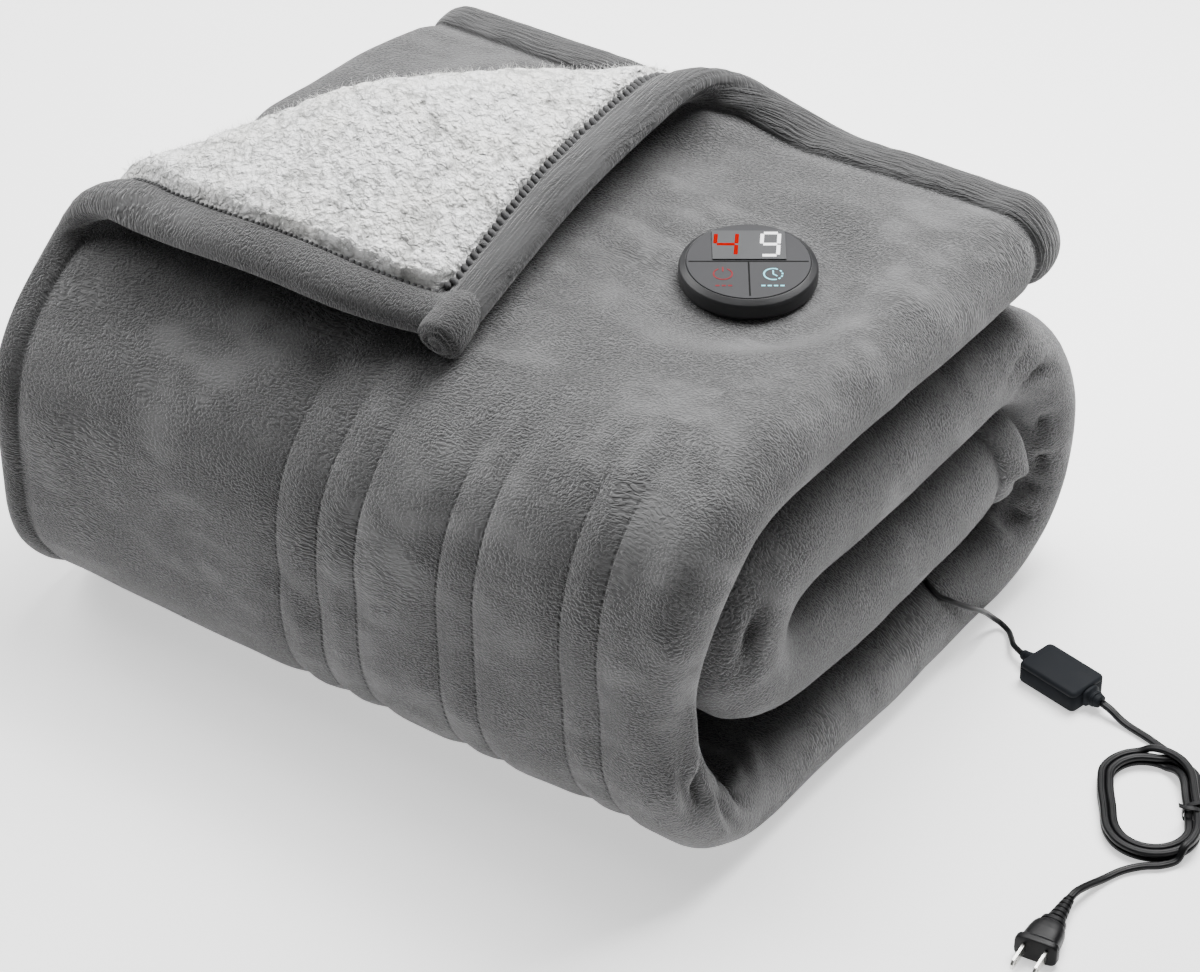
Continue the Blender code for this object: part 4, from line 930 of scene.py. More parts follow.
# ---- camera, floor and light


def look_along(azimuth, elevation):
    """The unit vectors towards the camera, to its right and up."""
    ahead, high = math.cos(elevation), math.sin(elevation)
    back = np.array((math.sin(azimuth) * ahead, -math.cos(azimuth) * ahead, high))
    right = np.array((math.cos(azimuth), math.sin(azimuth), 0.0))
    return back, right, np.cross(back, right)


def aim(obj, azimuth, elevation, target, distance):
    """Places the object at that distance from the target and turns its -Z axis to it."""
    back, right, up = look_along(math.radians(azimuth), math.radians(elevation))
    turn = Matrix([[*row] for row in np.stack([right, up, back], axis=1)])
    obj.matrix_world = Matrix.Translation(Vector(np.asarray(target) + distance * back)) @ turn.to_4x4()


def add_camera():
    """The camera that took the photograph, as fitted to it."""
    lens = bpy.data.cameras.new("view")
    lens.sensor_width = SENSOR
    lens.lens = FOCAL_PX * SENSOR / PHOTO_WIDTH
    obj = bpy.data.objects.new("view", lens)
    bpy.context.scene.collection.objects.link(obj)
    aim(obj, *VIEW_ANGLES, VIEW_TARGET, VIEW_DISTANCE)
    bpy.context.scene.camera = obj


def add_light(lamp):
    """A square soft light, aimed at the pack."""
    light = bpy.data.lights.new(lamp.name, "AREA")
    light.shape = "RECTANGLE"
    light.size = light.size_y = lamp.side
    light.energy = lamp.power
    obj = bpy.data.objects.new(lamp.name, light)
    bpy.context.scene.collection.objects.link(obj)
    aim(obj, lamp.azimuth, lamp.elevation, LIGHT_TARGET, lamp.distance)


def add_studio():
    """A plain pale floor that shines a little, under a dim white sky and the lamps."""
    world = bpy.data.worlds.new("studio")
    world.use_nodes = True
    sky = world.node_tree.nodes["Background"]
    sky.inputs["Color"].default_value = (1.0, 1.0, 1.0, 1.0)
    sky.inputs["Strength"].default_value = SKY_STRENGTH
    bpy.context.scene.world = world
    for lamp in LAMPS:
        add_light(lamp)
    mesh = bpy.data.meshes.new("floor")
    corners = [(x * FLOOR_REACH, y * FLOOR_REACH, 0) for x, y in ((-1, -1), (1, -1), (1, 1), (-1, 1))]
    mesh.from_pydata(corners, [], [(0, 1, 2, 3)])
    floor = bpy.data.objects.new("floor", mesh)
    bpy.context.scene.collection.objects.link(floor)
    shine = {"Emission_Color": (1.0, 1.0, 1.0, 1.0), "Emission_Strength": FLOOR_GLOW}
    made, _ = material("floor_white", FLOOR_WHITE, 0.9, **shine)
    floor.data.materials.append(made)


# ---- materials


def material(name, colour, roughness, metallic=0.0, **sockets):
    """A Principled material and its shader; each further socket goes by its name."""
    made = bpy.data.materials.new(name)
    made.use_nodes = True
    shader = made.node_tree.nodes["Principled BSDF"]
    shader.inputs["Base Color"].default_value = (*colour, 1.0)
    shader.inputs["Roughness"].default_value = roughness
    shader.inputs["Metallic"].default_value = metallic
    for key, value in sockets.items():
        shader.inputs[key.replace("_", " ")].default_value = value
    return made, shader


class Graph:
    """Short ways to add nodes to a material's or group's tree."""

    def __init__(self, tree):
        self.tree = tree

    def add(self, kind, **settings):
        made = self.tree.nodes.new("ShaderNode" + kind)
        inputs = settings.pop("inputs", {})
        for key, value in settings.items():
            setattr(made, key, value)
        for key, value in inputs.items():
            socket = made.inputs[key]
            if isinstance(value, bpy.types.NodeSocket):
                self.tree.links.new(value, socket)
            else:
                socket.default_value = value
        return made

    def link(self, a, b):
        self.tree.links.new(a, b)

    def where(self):
        return self.add("TexCoord").outputs["Object"]

    def scaled(self, vector, scale):
        return self.add("Mapping", inputs={"Vector": vector, "Scale": scale}).outputs["Vector"]

    def noise(self, vector, scale, detail=2.0, roughness=0.5, distortion=0.0):
        settings = {"Vector": vector, "Scale": scale, "Detail": detail}
        settings.update({"Roughness": roughness, "Distortion": distortion})
        return self.add("TexNoise", inputs=settings).outputs["Fac"]

    def drifted(self, vector, by, scale, detail, reach):
        """The vector, moved by a soft noise of that scale on the other vector."""
        drift = self.add("TexNoise", inputs={"Vector": by, "Scale": scale, "Detail": detail}).outputs["Color"]
        inputs = {0: drift, 1: reach, 2: vector}
        return self.add("VectorMath", operation="MULTIPLY_ADD", inputs=inputs).outputs[0]

    def math(self, operation, a, b=0.0):
        return self.add("Math", operation=operation, inputs={0: a, 1: b}).outputs[0]

    def times(self, a, b):
        return self.math("MULTIPLY", a, b)

    def blend(self, a, b, share):
        """The weighted sum of two values: a by the share and b by what is left of 1."""
        return self.math("ADD", self.times(a, share), self.times(b, round(1.0 - share, 6)))

    def between(self, a, b, share):
        """The first value where the share is 0, and the second where it is 1."""
        return self.math("ADD", self.times(a, self.math("SUBTRACT", 1.0, share)), self.times(b, share))

    def value(self, name):
        return self.add("Attribute", attribute_name=name).outputs["Fac"]

    def span(self, value, low, high, to_low=0.0, to_high=1.0):
        settings = {"Value": value, "From Min": low, "From Max": high, "To Min": to_low, "To Max": to_high}
        return self.add("MapRange", interpolation_type="SMOOTHSTEP", inputs=settings).outputs["Result"]

    def ramp(self, value, *stops):
        node = self.add("ValToRGB", inputs={"Fac": value})
        while len(node.color_ramp.elements) < len(stops):
            node.color_ramp.elements.new(0.5)
        for element, (at, colour) in zip(node.color_ramp.elements, stops):
            element.position = at
            element.color = (*colour, 1.0)
        return node.outputs["Color"]

    def mix(self, share, a, b):
        node = self.add("Mix", data_type="RGBA", blend_type="MIX")
        for key, value in ((0, share), (6, a), (7, b)):
            if isinstance(value, bpy.types.NodeSocket):
                self.link(value, node.inputs[key])
            elif key == 0:
                node.inputs[key].default_value = value
            else:
                node.inputs[key].default_value = (*value, 1.0)
        return node.outputs[2]

    def bump(self, height, strength, distance):
        settings = {"Height": height, "Strength": strength, "Distance": distance}
        return self.add("Bump", inputs=settings).outputs["Normal"]


# ---- the cord set


def twin_outline(count=28):
    """Across a flat twin cord: two round sides with a groove between them, above and below."""
    turn = 2 * math.pi * np.arange(count) / count
    aside = 0.5 * CORD_WIDE * np.cos(turn)
    groove = 1.0 - CORD_GROOVE * np.exp(-((aside / (0.10 * CORD_WIDE)) ** 2))
    high = 0.5 * CORD_HIGH * np.sign(np.sin(turn)) * np.abs(np.sin(turn)) ** 0.62 * groove
    return np.stack([aside, high], axis=1)


def round_outline(diameter, count=20):
    """A circle of that diameter."""
    turn = 2 * math.pi * np.arange(count) / count
    return 0.5 * diameter * np.stack([np.cos(turn), np.sin(turn)], axis=1)


def coil_route():
    """The coil's turns: four and a bit round a stadium, two side by side and then on top of each other.

    Each boundary between turns takes one step aside or up, one boundary's step after another's.
    """
    first = math.radians(COIL_FIRST)
    turn = np.arange(first, first + 2 * math.pi * COIL_TURNS + math.radians(COIL_EXTRA), math.radians(15))
    part = math.radians(COIL_STEP)

    def stepped(boundary, stage):
        """0 before the boundary between two turns and 1 past it, over this stage's part of the turn."""
        end = first + 2 * math.pi * boundary - math.radians(8) - (4 - stage) * part
        return smooth_step((turn - end + part) / part)

    aside = 0.5 * COIL_PITCH * (1.0 - 2.0 * stepped(1, 4) + 2.0 * stepped(3, 2))
    high = COIL_FLOOR + COIL_RISE * (stepped(2, 3) + stepped(4, 1))
    leave = smooth_step((turn - turn[-1] + math.radians(40)) / math.radians(60))
    radius = COIL_BEND + aside + 0.0030 * leave
    u = radius * np.cos(turn)
    v = radius * np.sin(turn) + COIL_STRAIGHT * np.sign(np.sin(turn)) * smooth_step(3 * np.abs(np.sin(turn)))
    heading = math.radians(COIL_HEADING)
    axis = np.array((math.cos(heading), math.sin(heading)))
    across = np.array((-axis[1], axis[0]))
    flat = np.array(COIL_AT) + v[:, None] * axis + u[:, None] * across
    return np.column_stack([flat, high - 0.0012 * leave])


def build_lead(cord_black):
    """The round lead from the roll to the adapter."""
    path = smooth_path(LEAD_ROUTE, CORD_STEP) + SHIFT
    obj = mesh_piece("lead_cord", *skin(sweep(path, round_outline(LEAD_DIAMETER))))
    return dressed(obj, cord_black, "cord_black", "cord_lead"), path


def build_mains(cord_black):
    """One flat twin cord from the adapter, four times round the coil and on to the plug."""
    route = np.concatenate([MAINS_A_ROUTE, coil_route(), MAINS_B_ROUTE])
    path = smooth_path(route, MAINS_STEP) + SHIFT
    obj = mesh_piece("mains_cord", *skin(sweep(path, twin_outline())))
    return dressed(obj, cord_black, "cord_black", "cord_mains_a", "cord_coil", "cord_mains_b"), path


def loft_rings(knots, count=56, rows=60):
    """Superellipse rings. Each knot: distance along, half width, half height, power, lift."""
    turn = 2 * math.pi * np.arange(count) / count
    t, wide, high, power, lift = (column[:, None] for column in rows_between(knots, rows).T)
    y = wide * np.sign(np.cos(turn)) * np.abs(np.cos(turn)) ** (2 / power)
    z = high * np.sign(np.sin(turn)) * np.abs(np.sin(turn)) ** (2 / power) + lift
    return np.stack([t * np.ones(count), y, z], axis=-1)


def lofted(name, rings, place, finish, slot_name, node):
    """A closed body over the rings, at that place."""
    points, quads, caps = skin(rings)
    return dressed(mesh_piece(name, transform(place, points), quads, caps), finish, slot_name, node)


def rounded_rectangle(half_x, half_y, radius, steps=7):
    """Points round a rectangle with round corners."""
    turn = np.linspace(0.0, 0.5 * math.pi, steps)
    runs = []
    for k, (sx, sy) in enumerate(((1, 1), (-1, 1), (-1, -1), (1, -1))):
        middle = np.array((sx * (half_x - radius), sy * (half_y - radius)))
        here = turn + k * math.pi / 2
        runs.append(middle + radius * np.stack([np.cos(here), np.sin(here)], axis=1))
    return np.concatenate(runs)


def build_adapter(case_black):
    """The adapter's case with its round edges and the seam of its lid, and the gland at each end."""
    place = placed(ADAPTER_AT, math.radians(ADAPTER_HEADING))
    long, wide, high = (0.5 * size for size in ADAPTER_SIZE)
    rim = ADAPTER_ROUND
    turn = np.linspace(0.0, 0.5 * math.pi, 7)
    low = [(rim * (1 - math.sin(a)), rim * (1 - math.cos(a))) for a in turn]
    inset, half = SEAM_BEAD
    bead = ((0.0, -half), (inset, -0.5 * half), (inset, 0.5 * half), (0.0, half))
    middle = [(into, ADAPTER_SEAM + z) for into, z in bead]
    top = [(into, 2 * high - z) for into, z in low[::-1]]
    rings = []
    for into, z in [*low, *middle, *top]:
        outline = rounded_rectangle(long - into, wide - into, ADAPTER_CORNER - 0.6 * into)
        rings.append(np.column_stack([outline, np.full(len(outline), z)]))
    case = lofted("adapter_case", np.array(rings), place, case_black, "adapter_black", "adapter_box")
    end, z = long + GAP, ADAPTER_MIDDLE
    inlet = loft_rings([(t - end, r, r, 2, z) for t, r in INLET])
    outlet = loft_rings([(t + end, wide, high, power, z) for t, wide, high, power in OUTLET])
    into = lofted("adapter_inlet", inlet, place, case_black, "adapter_black", "adapter_gland_in")
    out = lofted("adapter_outlet", outlet, place, case_black, "adapter_black", "adapter_gland_out")
    return case, into, out


def build_plug(cord_black, blade_metal):
    """The plug's ribbed relief and domed body; its two blades are the model's own."""
    place = placed(PLUG_AT, math.radians(PLUG_HEADING))
    z = PLUG_MIDDLE
    t = np.linspace(0.0, RELIEF_LONG, 90)
    f = t / t[-1]
    phase = (f * RELIEF_RIBS) % 1.0
    groove = smooth_step((phase - 0.55) / 0.12) * smooth_step((0.98 - phase) / 0.12) * (f < 0.97)
    share = (1.0 - RIB_DEPTH * groove) * np.minimum(1.0, 0.75 + f * 12)
    wide, high = ((start + gain * f) * share for start, gain in (RELIEF_WIDE, RELIEF_HIGH))
    turn = 2 * math.pi * np.arange(48) / 48
    across, up = wide[:, None] * np.cos(turn), high[:, None] * np.sin(turn) + z
    rings = np.stack([t[:, None] + 0 * turn, across, up], axis=-1)
    relief = lofted("plug_ribbed_relief", rings, place, cord_black, "cord_black", "plug_relief")
    body = loft_rings([(*row, z) for row in PLUG_BODY], 72, 70)
    shell = lofted("plug_shell", body, place, cord_black, "cord_black", "plug_body")
    blades = [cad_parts["plug_blade_left"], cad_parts["plug_blade_right"]]
    for blade in blades:
        blade.data.materials.clear()
        blade.data.materials.append(blade_metal)
    return relief, shell, *blades


def build_tie(strap_black):
    """The twist tie: a flat strip once round the bundle, its two ends crossing and standing free."""
    path = smooth_path(TIE_PATH, TIE_STEP)
    out = unit(np.stack([-np.gradient(path[:, 1]), np.gradient(path[:, 0])], axis=1))
    turn = math.radians(TIE_TURN)
    across = np.array((math.cos(turn), math.sin(turn), 0.0))
    onward = np.array((-across[1], across[0], 0.0))
    lean = np.linspace(-0.5, 0.5, 9)
    crown = 0.00012 * np.abs(lean * 2) ** 6 + 0.00010 * np.exp(-((lean / 0.14) ** 2))
    grids = []
    for side in (0.5, -0.5):
        lift = side * (TIE_THICK - 2 * crown)
        r = path[:, :1] + out[:, :1] * lift
        z = path[:, 1:2] + out[:, 1:] * lift
        t = path[:, 2:] + lean * TIE_WIDE
        start = np.array((*TIE_AT, 0.0)) + SHIFT
        up = np.array((0.0, 0.0, 1.0))
        grids.append(start + r[..., None] * across + z[..., None] * up + t[..., None] * onward)
    return dressed(mesh_piece("twist_tie", *slab(*grids)), strap_black, "tie_black", "tie")


def build_cord_set():
    """The lead, the adapter, the mains cord with its coil, the tie and the plug."""
    cord_black, case_black = cord_vinyl(), case_plastic()
    lead, lead_path = build_lead(cord_black)
    mains, mains_path = build_mains(cord_black)
    case, inlet, outlet = build_adapter(case_black)
    plug = build_plug(cord_black, blade_metal())
    tie = build_tie(tie_plastic())


# ---- the controller


def controller_place():
    """Where the controller's underside lies: turned to the view and tilted with the cloth."""
    seat = Vector(np.array((*PUCK_AT, PUCK_SEAT_Z + CLEAR)) + SHIFT)
    return Matrix.Translation(seat) @ Matrix.Rotation(PUCK_TURN, 4, "Z") @ Matrix.Rotation(PUCK_TILT, 4, "X")


def plate(name, outline, bottom, top, edge, finish, slot_name, node):
    """A flat plate of that outline; its top edge is drawn in by edge, to catch the light."""
    middle = outline.mean(axis=0)
    reach = np.linalg.norm(outline - middle, axis=1).max()
    levels = [(0.0, bottom), (0.0, top - edge), (0.5 * edge / reach, top - 0.2 * edge), (edge / reach, top)]
    rings = []
    for inset, z in levels:
        rings.append(np.column_stack([middle + (outline - middle) * (1 - inset), np.full(len(outline), z)]))
    points, quads, caps = skin(np.array(rings))
    obj = mesh_piece(name, transform(controller_place(), points), quads, caps)
    return dressed(flat_shaded(obj), finish, slot_name, node)


def flat_shaded(obj):
    obj.data.polygons.foreach_set("use_smooth", np.zeros(len(obj.data.polygons), dtype=bool))
    return obj


def marks(name, shapes, height, finish):
    """Flat printed shapes on the face, as one piece: each shape is a strip round its own line."""
    top = LEGEND_Z + height
    points, quads, first = [], [], 0
    for line, width in shapes:
        line = np.asarray(line, dtype=float)
        ahead = unit(np.gradient(line, axis=0))
        aside = np.stack([-ahead[:, 1], ahead[:, 0]], axis=1) * 0.5 * width
        rows = np.stack([line + aside, line - aside], axis=1)
        upper = np.concatenate([rows, np.full((*rows.shape[:2], 1), top)], axis=2)
        lower = np.concatenate([rows, np.full((*rows.shape[:2], 1), LEGEND_Z)], axis=2)
        made, faces = slab(upper, lower)
        points.append(made)
        quads.append(faces + first)
        first += len(made)
    obj = mesh_piece(name, transform(controller_place(), np.concatenate(points)), np.concatenate(quads))
    return dressed(flat_shaded(obj), finish, "controller_grey")


def numeral(made):
    """The lit segments of a seven-segment numeral that leans to the right, each a short bar."""
    corners = {"a": ((-1, 2), (1, 2)), "g": ((-1, 0), (1, 0)), "d": ((-1, -2), (1, -2))}
    corners.update({"f": ((-1, 2), (-1, 0)), "b": ((1, 2), (1, 0)), "c": ((1, 0), (1, -2))})
    half = (0.5 * made.wide - 0.5 * made.stroke, 0.25 * NUMERAL_HIGH - 0.25 * made.stroke)
    shapes = []
    for key in made.segments:
        a, b = (np.array(corner) * half for corner in corners[key])
        a, b = (end + np.array((NUMERAL_LEAN * end[1] + made.x, NUMERAL_Y)) for end in (a, b))
        short = 0.42 * made.stroke * unit(b - a)
        shapes.append((np.array((a + short, b - short)), made.stroke))
    return shapes


def arc(middle, radius, start, end, steps=28):
    """Points along part of a circle, from one angle in degrees to another."""
    turn = np.radians(np.linspace(start, end, steps))
    return np.asarray(middle) + radius * np.stack([np.cos(turn), np.sin(turn)], axis=1)


def build_controller():
    """The disc: its black housing with a bevelled rim, the grey face, the display and what is on them."""
    place = controller_place()
    r, h, face_r = PUCK_RADIUS, PUCK_HEIGHT, FACE_RADIUS
    recess = h - FACE_SINK
    profile = [
        (0.0, 0.0),
        (r - 0.0030, 0.0),
        (r - 0.0010, 0.0008),
        (r, 0.0030),
        (r, h - 0.0040),
        (r - 0.0006, h - 0.0024),
        (face_r + 0.0006, h - 0.0001),
        (face_r + GAP, h - 0.0002),
        (face_r + GAP, recess),
        (0.0, recess),
    ]
    housing = turned("puck_housing", round_profile(profile, 0.0016), place)
    dressed(housing, housing_plastic(), "controller_black", "controller_housing")
    low = recess + GAP
    top = low + FACE_THICK
    edge = 0.0002
    profile = [(0.0, low), (face_r, low), (face_r, top - edge), (face_r - 0.0003, top), (0.0, top)]
    face = turned("puck_face", round_profile(profile, edge), place)
    dressed(face, face_plastic(), "controller_grey", "controller_face")
    low_corner, high_corner = np.array((DISPLAY_LEFT, DISPLAY_FRONT)), np.array((DISPLAY_RIGHT, DISPLAY_BACK))
    window = rounded_rectangle(*(0.5 * (high_corner - low_corner)), 0.0006) + 0.5 * (low_corner + high_corner)
    base = top + GAP
    glass = (window, base, base + DISPLAY_THICK, edge)
    plate("puck_display", *glass, display_glass(), "display_window", "controller_display")
    lit = DISPLAY_THICK + GAP + LIT_RISE
    marks("numeral_level", numeral(LEVEL), lit, glow("lit_red", LIT_RED, RED_GLOW))
    marks("numeral_hours", numeral(HOURS), lit, glow("lit_white", LIT_WHITE, WHITE_GLOW))
    lines = [(ends, DIVIDER_WIDE) for ends in DIVIDERS]
    marks("dividers", lines, INK, legend_ink("divider_grey", DIVIDER_GREY, 0.0))
    at = np.array(POWER_AT)
    power = [(arc(at, SYMBOL_RADIUS, *POWER_ARC), SYMBOL_LINE)]
    power += [([at + (0, end) for end in POWER_BAR], SYMBOL_LINE)]
    power += dashes(-0.0138, (-1, 0, 1))
    marks("power_symbol", power, INK, legend_ink("symbol_red", SYMBOL_RED, SYMBOL_RED_GLOW))
    at = np.array(CLOCK_AT)
    clock = [(arc(at, SYMBOL_RADIUS, *CLOCK_ARC), CLOCK_LINE)]
    clock += [(arc(at, SYMBOL_RADIUS, start, start + TICK_ARC, 4), CLOCK_LINE) for start in CLOCK_TICKS]
    clock += [([at, at + hand], SYMBOL_LINE) for hand in CLOCK_HANDS]
    clock += dashes(0.0125, (-1.5, -0.5, 0.5, 1.5))
    marks("clock_symbol", clock, INK, legend_ink("symbol_cyan", SYMBOL_CYAN, SYMBOL_CYAN_GLOW))


def dashes(middle, places):
    """A row of short dashes, one for each setting."""
    half = 0.5 * DASH_LONG
    starts = [middle + DASH_PITCH * place for place in places]
    return [(((x - half, DASH_Y), (x + half, DASH_Y)), DASH_WIDE) for x in starts]


# ---- the cloth


def hem_steps():
    """Distances over a hem from its edge inwards, close at both its sides: half of 1 less a cosine."""
    return 0.5 * HEM_WIDTH * (1.0 - np.cos(np.linspace(0.0, math.pi, HEM_STEPS)))


def odd_count(values, place):
    """The values, with one more in a wide place where their count is even."""
    if len(values) % 2:
        return values
    return np.insert(values, place, 0.5 * (values[place - 1] + values[place]))


def even_columns():
    """The grid's values of q, the rows of the mesh across the strip: close in the hems and the folds."""
    width = STRIP_RIGHT - STRIP_LEFT - 0.03
    hem = hem_steps()
    rest = HEM_WIDTH / width
    near_hem = (SIDE_TRIM + hem / SIDE_NARROW) / width
    top = [near_hem, [rest - 0.004], np.linspace(rest, 0.996, TOP_STEPS + 1)[1:]]
    folds = [1.0 + np.linspace(0, 1, 35), 2.0 + np.linspace(0, 1, 13)[1:], 3.0 + np.linspace(0, 1, 17)[1:]]
    edge = (hem[::-1] / width) * 1.06
    opened = 4.0 + np.linspace(0.0, 0.30, 24)[1:]
    covered = 4.0 + np.linspace(0.30, 1.0 - edge[0], 15)[1:-1]
    return odd_count(np.concatenate([*top, *folds, opened, covered, 5.0 - edge]), 60)


def even_stations():
    """The grid's values of s: close in the hems, on the top and on the front, wider where little shows."""
    hem = hem_steps()
    top_end = LENGTH - END_TRIM - HEM_WIDTH - 0.002
    marks = (HEM_WIDTH, 0.62, LENGTH - 0.66, LENGTH - 0.525, LENGTH - 0.41, top_end)
    steps = (0.0085, 0.0062, 0.0046, 0.0028, 0.0038)
    runs = [np.arange(low, high, step) for low, high, step in zip(marks, marks[1:], steps)]
    runs[0] = runs[0][1:]
    return odd_count(np.concatenate([hem, *runs, LENGTH - END_TRIM - hem[::-1]]), 40)


def cloth_metres(surface):
    """How far each grid point lies across the cloth, in metres, along its own station."""
    across = np.linalg.norm(np.diff(surface, axis=0), axis=-1)
    return np.concatenate([np.zeros((1, surface.shape[1])), np.cumsum(across, axis=0)])


def crease_field(points):
    """How far each point sinks or rises for the creases listed: a soft trough along each line.

    A trough is deepest at its middle and fades to both ends. A negative depth is a ridge.
    """
    total = np.zeros(points.shape[:-1])
    for crease in CREASES:
        line = smooth_path(crease.line, 0.002)
        reach = 0.6 * np.linalg.norm(line[-1] - line[0]) + 4 * crease.wide
        near = np.linalg.norm(points - np.mean(line, axis=0), axis=-1) < reach
        picked = points[near]
        apart = np.linalg.norm(picked[:, None] - line[None], axis=-1)
        closest = apart.argmin(axis=1)
        fade = np.sin(math.pi * (0.06 + 0.88 * closest / max(len(line) - 1, 1))) ** 0.7
        total[near] += crease.deep * fade * np.exp(-((apart.min(axis=1) / crease.wide) ** 2))
    return total


def unevenness(points, on_hem):
    """Soft lumps of several sizes over the cloth, and finer puckers across the hems."""
    broad = sum(lump.rise * lattice_noise(points, lump.size, lump.seed) for lump in LUMPS)
    small = SMALL_LUMP.rise * lattice_noise(points, SMALL_LUMP.size, SMALL_LUMP.seed)
    hem = HEM_PUCKER.rise * lattice_noise(points * HEM_STRETCH, HEM_PUCKER.size, HEM_PUCKER.seed) * on_hem
    return broad + small + hem


def left_smooth(plain):
    """1 over most of the cloth, and 0 where it rests on the floor and close round the controller."""
    r = np.hypot(plain[..., 0] - PUCK_AT[0], plain[..., 1] - PUCK_AT[1])
    away = 1.0 - smooth_step((PUCK_RADIUS + 0.030 - r) / 0.022)
    return np.where(plain[..., 2] > PUCK_SEAT_Z - 0.02, away, 1.0) * smooth_step(plain[..., 2] / 0.016)


def fine_sheet():
    """The sheet's outer and inner surface on the fine grid, with every crease and lump."""
    q, s = np.meshgrid(even_columns(), even_stations(), indexing="ij")
    half = half_thickness(q, s)
    plain = sheet(q, s, half)
    e = edge_distance(q, s)
    on_hem = 1.0 - smooth_step((e - 0.8 * HEM_WIDTH) / (0.4 * HEM_WIDTH))
    free = smooth_step(e / 0.006) * left_smooth(plain)
    creases = crease_field(plain)
    outer = sheet(q, s, half - channel_depth(q, s) + (unevenness(plain, on_hem) - creases) * free)
    inner = sheet(q, s, -half + INNER_SHARE * unevenness(plain + 0.5, on_hem) * free)
    press = seat_press(outer) * (q <= 1.0)
    for side in (outer, inner):
        side[..., 2] += press
        side[..., 2] = np.where(side[..., 2] < FLOOR_SNAP, 0.0, side[..., 2])
    # the last value is the creases' painted shade, from 0 to 1 by their depth
    return q, s, outer, inner, np.clip(creases / CREASE_SHADE_FULL, 0.0, 1.0)


def two_sided(outer, inner):
    """Points and faces of the sheet: a fine outer side, an inner one on every second row and column."""
    rows, cols = outer.shape[:2]
    coarse = inner[::2, ::2]
    count = rows * cols
    fine_rim, coarse_rim = rim_of(rows, cols), rim_of(*coarse.shape[:2], count)
    pairs, between = fine_rim[::2], fine_rim[1::2]
    rim = np.stack([pairs, coarse_rim, np.roll(coarse_rim, -1), np.roll(pairs, -1), between], axis=1)
    points = np.concatenate([outer.reshape(-1, 3), coarse.reshape(-1, 3)])
    quads = np.concatenate([grid_faces(rows, cols), grid_faces(*coarse.shape[:2], count)[:, ::-1]])
    return points, quads, rim


def cloth_map(obj, across, onward):
    """A UV map in metres of cloth: across the strip and along it."""
    layer = obj.data.uv_layers.new(name="cloth")
    corner = np.empty(len(obj.data.loops), dtype=np.int32)
    obj.data.loops.foreach_get("vertex_index", corner)
    layer.data.foreach_set("uv", np.stack([across, onward], axis=1)[corner].astype(np.float32).ravel())


def point_value(obj, name, values):
    """A number at each vertex, which the material reads by its name."""
    obj.data.attributes.new(name, "FLOAT", "POINT").data.foreach_set("value", values.astype(np.float32))


def stitch_rows(q, s, outer):
    """1 where the rows of stitches run down the front, fading out above and below."""
    y = along(s, LINE[:, 0])
    on_front = (q <= 1.0) * smooth_step((CHANNEL_TOP_Y + 0.4 * CHANNEL_FADE - y) / CHANNEL_FADE)
    return on_front * smooth_step((outer[..., 2] - 0.006) / 0.02)


def build_blanket():
    """The throw: one closed sheet, with its map in metres and what its finish reads at each point."""
    q, s, outer, inner, low = fine_sheet()
    points, quads, rim = two_sided(outer, inner)
    obj = mesh_piece("plush_blanket", points + SHIFT, quads, rim)
    x, _, _ = section(q, s)
    side = np.where(q <= 1.0, x - STRIP_LEFT, 1.0)
    grids = (cloth_metres(outer), s, side, stitch_rows(q, s, outer), low)
    across, onward, *values = (np.concatenate([grid.ravel(), grid[::2, ::2].ravel()]) for grid in grids)
    cloth_map(obj, across, onward)
    # crease_shade is painted shade in the creases
    for name, value in zip(("side", "stitched", "crease_shade"), values):
        point_value(obj, name, value)
    return dressed(obj, brushed_plush(), "grey_plush", "blanket")


def lining_frame(x, w):
    """Points and outward normals of the flap's lining side at x across and w from the end."""
    q = (x - STRIP_LEFT) / (STRIP_RIGHT - 0.5 * thickness(LENGTH - w) - STRIP_LEFT)
    s = LENGTH - w
    low = sheet(q, s, -half_thickness(q, s))
    high = sheet(q, s, -half_thickness(q, s) - 0.001)
    return low, unit(high - low)


def lining_place(a, b, side, end, start):
    """x and w in the lining's triangle: a is 0 at the cloth's corner and 1 at the crease, b runs along it."""
    slope = math.hypot(CREASE_LEFT, CREASE_BACK)
    reach = CREASE_LEFT * CREASE_BACK - side * CREASE_LEFT - end * CREASE_BACK - start * slope
    return STRIP_LEFT + side + a * b * reach / CREASE_LEFT, end + a * (1.0 - b) * reach / CREASE_BACK


def lining_grid(rows, cols, side, end, start):
    """x and w on an even grid over the lining's triangle, and the distance to its rim."""
    a, b = np.meshgrid(np.linspace(0.03, 1.0, rows), np.linspace(0.0, 1.0, cols), indexing="ij")
    x, w = lining_place(a, b, side, end, start)
    rim = np.minimum(np.minimum(a - 0.03, 1.0 - a) * 0.24, a * np.minimum(b, 1.0 - b) * 0.30)
    return x, w, rim


def domes(flat, size, seed):
    """Round clumps of about that size, from 1 at each one's middle to 0 in the creases between them.

    Each is the root of 1 less the square of the distance to the nearest middle, over the clump's reach.
    """
    rng = np.random.default_rng(seed)
    table = rng.uniform(-CLUMP_STRAY, CLUMP_STRAY, (2, 4096))
    at = flat / size + 50.0
    cell = np.floor(at).astype(np.int64)
    nearest = np.full(at.shape[:-1], 9.0)
    for di in (-1, 0, 1):
        for dj in (-1, 0, 1):
            there = cell + np.array((di, dj))
            key = there @ np.array([73856093, 19349663])
            key = (key ^ (key >> 11)) & 4095
            middle = there + 0.5 + np.stack([table[0][key], table[1][key]], axis=-1)
            nearest = np.minimum(nearest, np.linalg.norm(at - middle, axis=-1))
    return np.sqrt(np.clip(1.0 - (nearest / CLUMP_REACH) ** 2, 0.0, 1.0))


